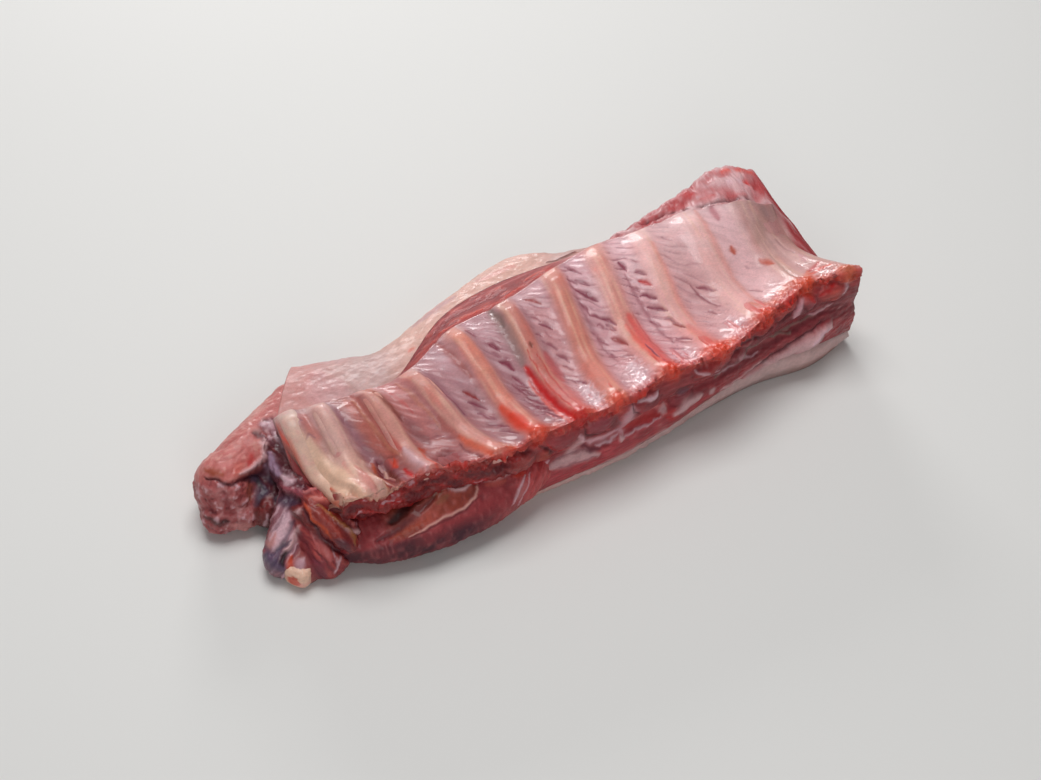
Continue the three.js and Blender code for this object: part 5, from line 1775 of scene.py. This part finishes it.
def paint_shoulder(points, normals):
    """Each torn muscle's colour and strands, then the marks on the slanted chart."""
    chart = np.stack([points @ SLANT_ACROSS, points @ SLANT_UP], 1) + SLANT_MIDDLE
    coat = Coat(chart, (0, 0, 0), seed=151, wobble=0.8)
    facing = rise(normals @ np.cross(SLANT_ACROSS, SLANT_UP), -0.1, 0.2)
    shares = muscle_shares(points)
    for name, share in shares.items():
        coat.colour += share[:, None] * tone(*SHOULDER_MUSCLES[name][-1])
    across, up = coat.chart[:, 0], coat.chart[:, 1]
    lengthways = noise(scaled(points, 0.25), 1.6, 153)
    down_right = noise(flat_points(up + across, 0.12 * (across - up)), 1.5, 154)
    down_left = noise(flat_points(across - 0.6 * up, 0.12 * up), 1.3, 156)
    coarse = rough_noise(points, 8, 155)
    shreds = rough_noise(points, 3, 157)
    belly = shares["belly_end"]
    column = shares["grey_column"]
    tip = rise(61 - up, 0, 3) * fade(across, 26, 31) * facing
    red = shares["front_muscle"] + shares["strap"] + shares["under_first_rib"] + shares["white_skin"]
    torn = shares["white_skin"] + shares["under_first_rib"] + shares["shaded_hollow_floor"]
    coat.wash("cream", belly * rise(lengthways, 0.0, 0.6), 0.25)
    coat.wash("brown_pink", belly * rise(-lengthways, 0.0, 0.6), 0.3)
    coat.wash("cream", belly * rise(shreds, 0.3, 0.6), 0.4)
    paint_torn_tip(coat, tip, shreds)
    coat.wash("silver", column * rise(down_left, 0.1, 0.6), 0.7)
    coat.wash("slate", column * rise(-down_left, 0.1, 0.6), 0.5)
    coat.wash("salmon", red * rise(down_right, 0.1, 0.7), 0.35)
    coat.wash("wine", red * rise(-down_right, 0.1, 0.6), 0.6)
    coat.wash("silver", torn * rise(shreds, 0.35, 0.6), 0.5)
    coat.wash("dark_lean", (1 - belly) * rise(-coarse, 0.1, 0.7), 0.4)
    coat.relief += 0.25 * lengthways * belly + 0.4 * coarse + 0.3 * shreds
    coat.relief += 0.5 * down_right * red + 0.6 * down_left * column
    coat.relief += 0.9 * shreds * np.clip(tip + torn, 0, 1)
    low = rise(14 - points[:, 2], 0, 8) * np.clip(tip + 0.4 * column, 0, 1)
    coat.relief += low * 1.6 * rough_noise(points, 5, 158)
    coat.front = facing
    for marks in (BELLY_MARKS, HOLLOW_MARKS, COLUMN_MARKS, FRONT_MARKS):
        coat.strokes(marks)
    coat.wet = 0.6 + 0.3 * coarse + 0.2 * column + 0.2 * torn
    coat.fibre[:] = 0.6
    return coat


def build_neck_bone():
    """Sawn piece of neck bone, with marrow in its cut face."""
    mesh = ball_mesh("neck_bone_body", 96, 72)
    unit = read_points(mesh)
    squared = np.sign(unit) * np.abs(unit) ** NECK_BONE_SQUARE
    squared = squared * np.array(NECK_BONE_SIZE) / 2
    turn = NECK_BONE_YAW
    x = squared[:, 0] * math.cos(turn) - squared[:, 1] * math.sin(turn)
    y = squared[:, 0] * math.sin(turn) + squared[:, 1] * math.cos(turn)
    points = np.stack([x, y, squared[:, 2]], 1) + np.array(NECK_BONE_CENTRE)
    coat = Coat(squared[:, 1:], COLOURS["ivory"], seed=171)
    face = rise(-squared[:, 0], 4, 7)
    pores = noise(points, 1.2, 173)
    radius = np.hypot(squared[:, 1] / MARROW_HALF_SIZE[0], squared[:, 2] / MARROW_HALF_SIZE[1])
    marrow = face * fade(radius + 0.25 * pores, 0.7, 1.0)
    coat.wash("marrow", marrow, 0.85)
    coat.wash("blood", marrow * rise(pores, 0.1, 0.6), 0.6)
    coat.wash("pink", rise(noise(points, 5, 175), 0, 0.5), 0.4)
    coat.relief = 0.3 * pores
    points = points + unit * coat.relief[:, None]
    finish_ball("neck_bone_piece", mesh, points, coat, BONE, ["neck_bone"])


# ------------------------------------------------------------------ floor, light and camera
FLOOR_SIZE = 6.0
FLOOR_DROP = 0.0004  # so that it doesn't fight with the fat's underside
CAMERA_AT = (-0.42863, -0.74655, 0.96647)
CAMERA_AZIMUTH = math.radians(-30)
CAMERA_ELEVATION = math.radians(48)
LENS = 80
SENSOR = 36


def build_floor():
    bm = bmesh.new()
    bmesh.ops.create_grid(bm, x_segments=1, y_segments=1, size=FLOOR_SIZE / 2)
    mesh = bpy.data.meshes.new("floor")
    bm.to_mesh(mesh)
    bm.free()
    material = bpy.data.materials.new("pale_floor")
    material.use_nodes = True
    shader = material.node_tree.nodes["Principled BSDF"]
    shader.inputs["Base Color"].default_value = (0.72, 0.71, 0.69, 1)
    shader.inputs["Roughness"].default_value = 0.7
    mesh.materials.append(material)
    floor = bpy.data.objects.new("floor", mesh)
    bpy.context.scene.collection.objects.link(floor)
    floor.location.z = -FLOOR_DROP


def add_softbox(name, place, size, power, aim=(0, 0, 0.03)):
    light = bpy.data.lights.new(name, "AREA")
    light.shape = "RECTANGLE"
    light.size = size[0]
    light.size_y = size[1]
    light.energy = power
    lamp = bpy.data.objects.new(name, light)
    lamp.location = place
    aimed = Vector(aim) - Vector(place)
    lamp.rotation_euler = aimed.to_track_quat("-Z", "Y").to_euler()
    bpy.context.scene.collection.objects.link(lamp)


def light_scene():
    world = bpy.data.worlds.new("studio")
    world.use_nodes = True
    background = world.node_tree.nodes["Background"]
    background.inputs["Color"].default_value = (0.95, 0.97, 1.0, 1)
    background.inputs["Strength"].default_value = 0.2
    bpy.context.scene.world = world
    add_softbox("back_light", (0.4, 1.3, 0.42), (0.5, 0.3), 7)
    add_softbox("top_light", (0.1, 0.35, 1.5), (0.9, 0.9), 16)
    add_softbox("near_fill", (-0.6, -1.2, 0.7), (0.7, 0.7), 4.5)


def place_camera():
    camera = bpy.data.cameras.new("camera")
    camera.lens = LENS
    camera.sensor_width = SENSOR
    camera.clip_start = 0.01
    holder = bpy.data.objects.new("camera", camera)
    flat = math.cos(CAMERA_ELEVATION)
    back = Vector(
        (
            math.sin(CAMERA_AZIMUTH) * flat,
            -math.cos(CAMERA_AZIMUTH) * flat,
            math.sin(CAMERA_ELEVATION),
        )
    )
    holder.location = CAMERA_AT
    holder.rotation_euler = (-back).to_track_quat("-Z", "Y").to_euler()
    bpy.context.scene.collection.objects.link(holder)
    bpy.context.scene.camera = holder


# ------------------------------------------------------------------ everything together
place_camera()
light_scene()
build_floor()
build_slab()
build_fat()
for rib_number in range(1, RIB_COUNT + 1):
    build_rib(rib_number)
build_loin()
build_shoulder()
build_neck_bone()

bpy.context.scene.view_settings.view_transform = "Standard"
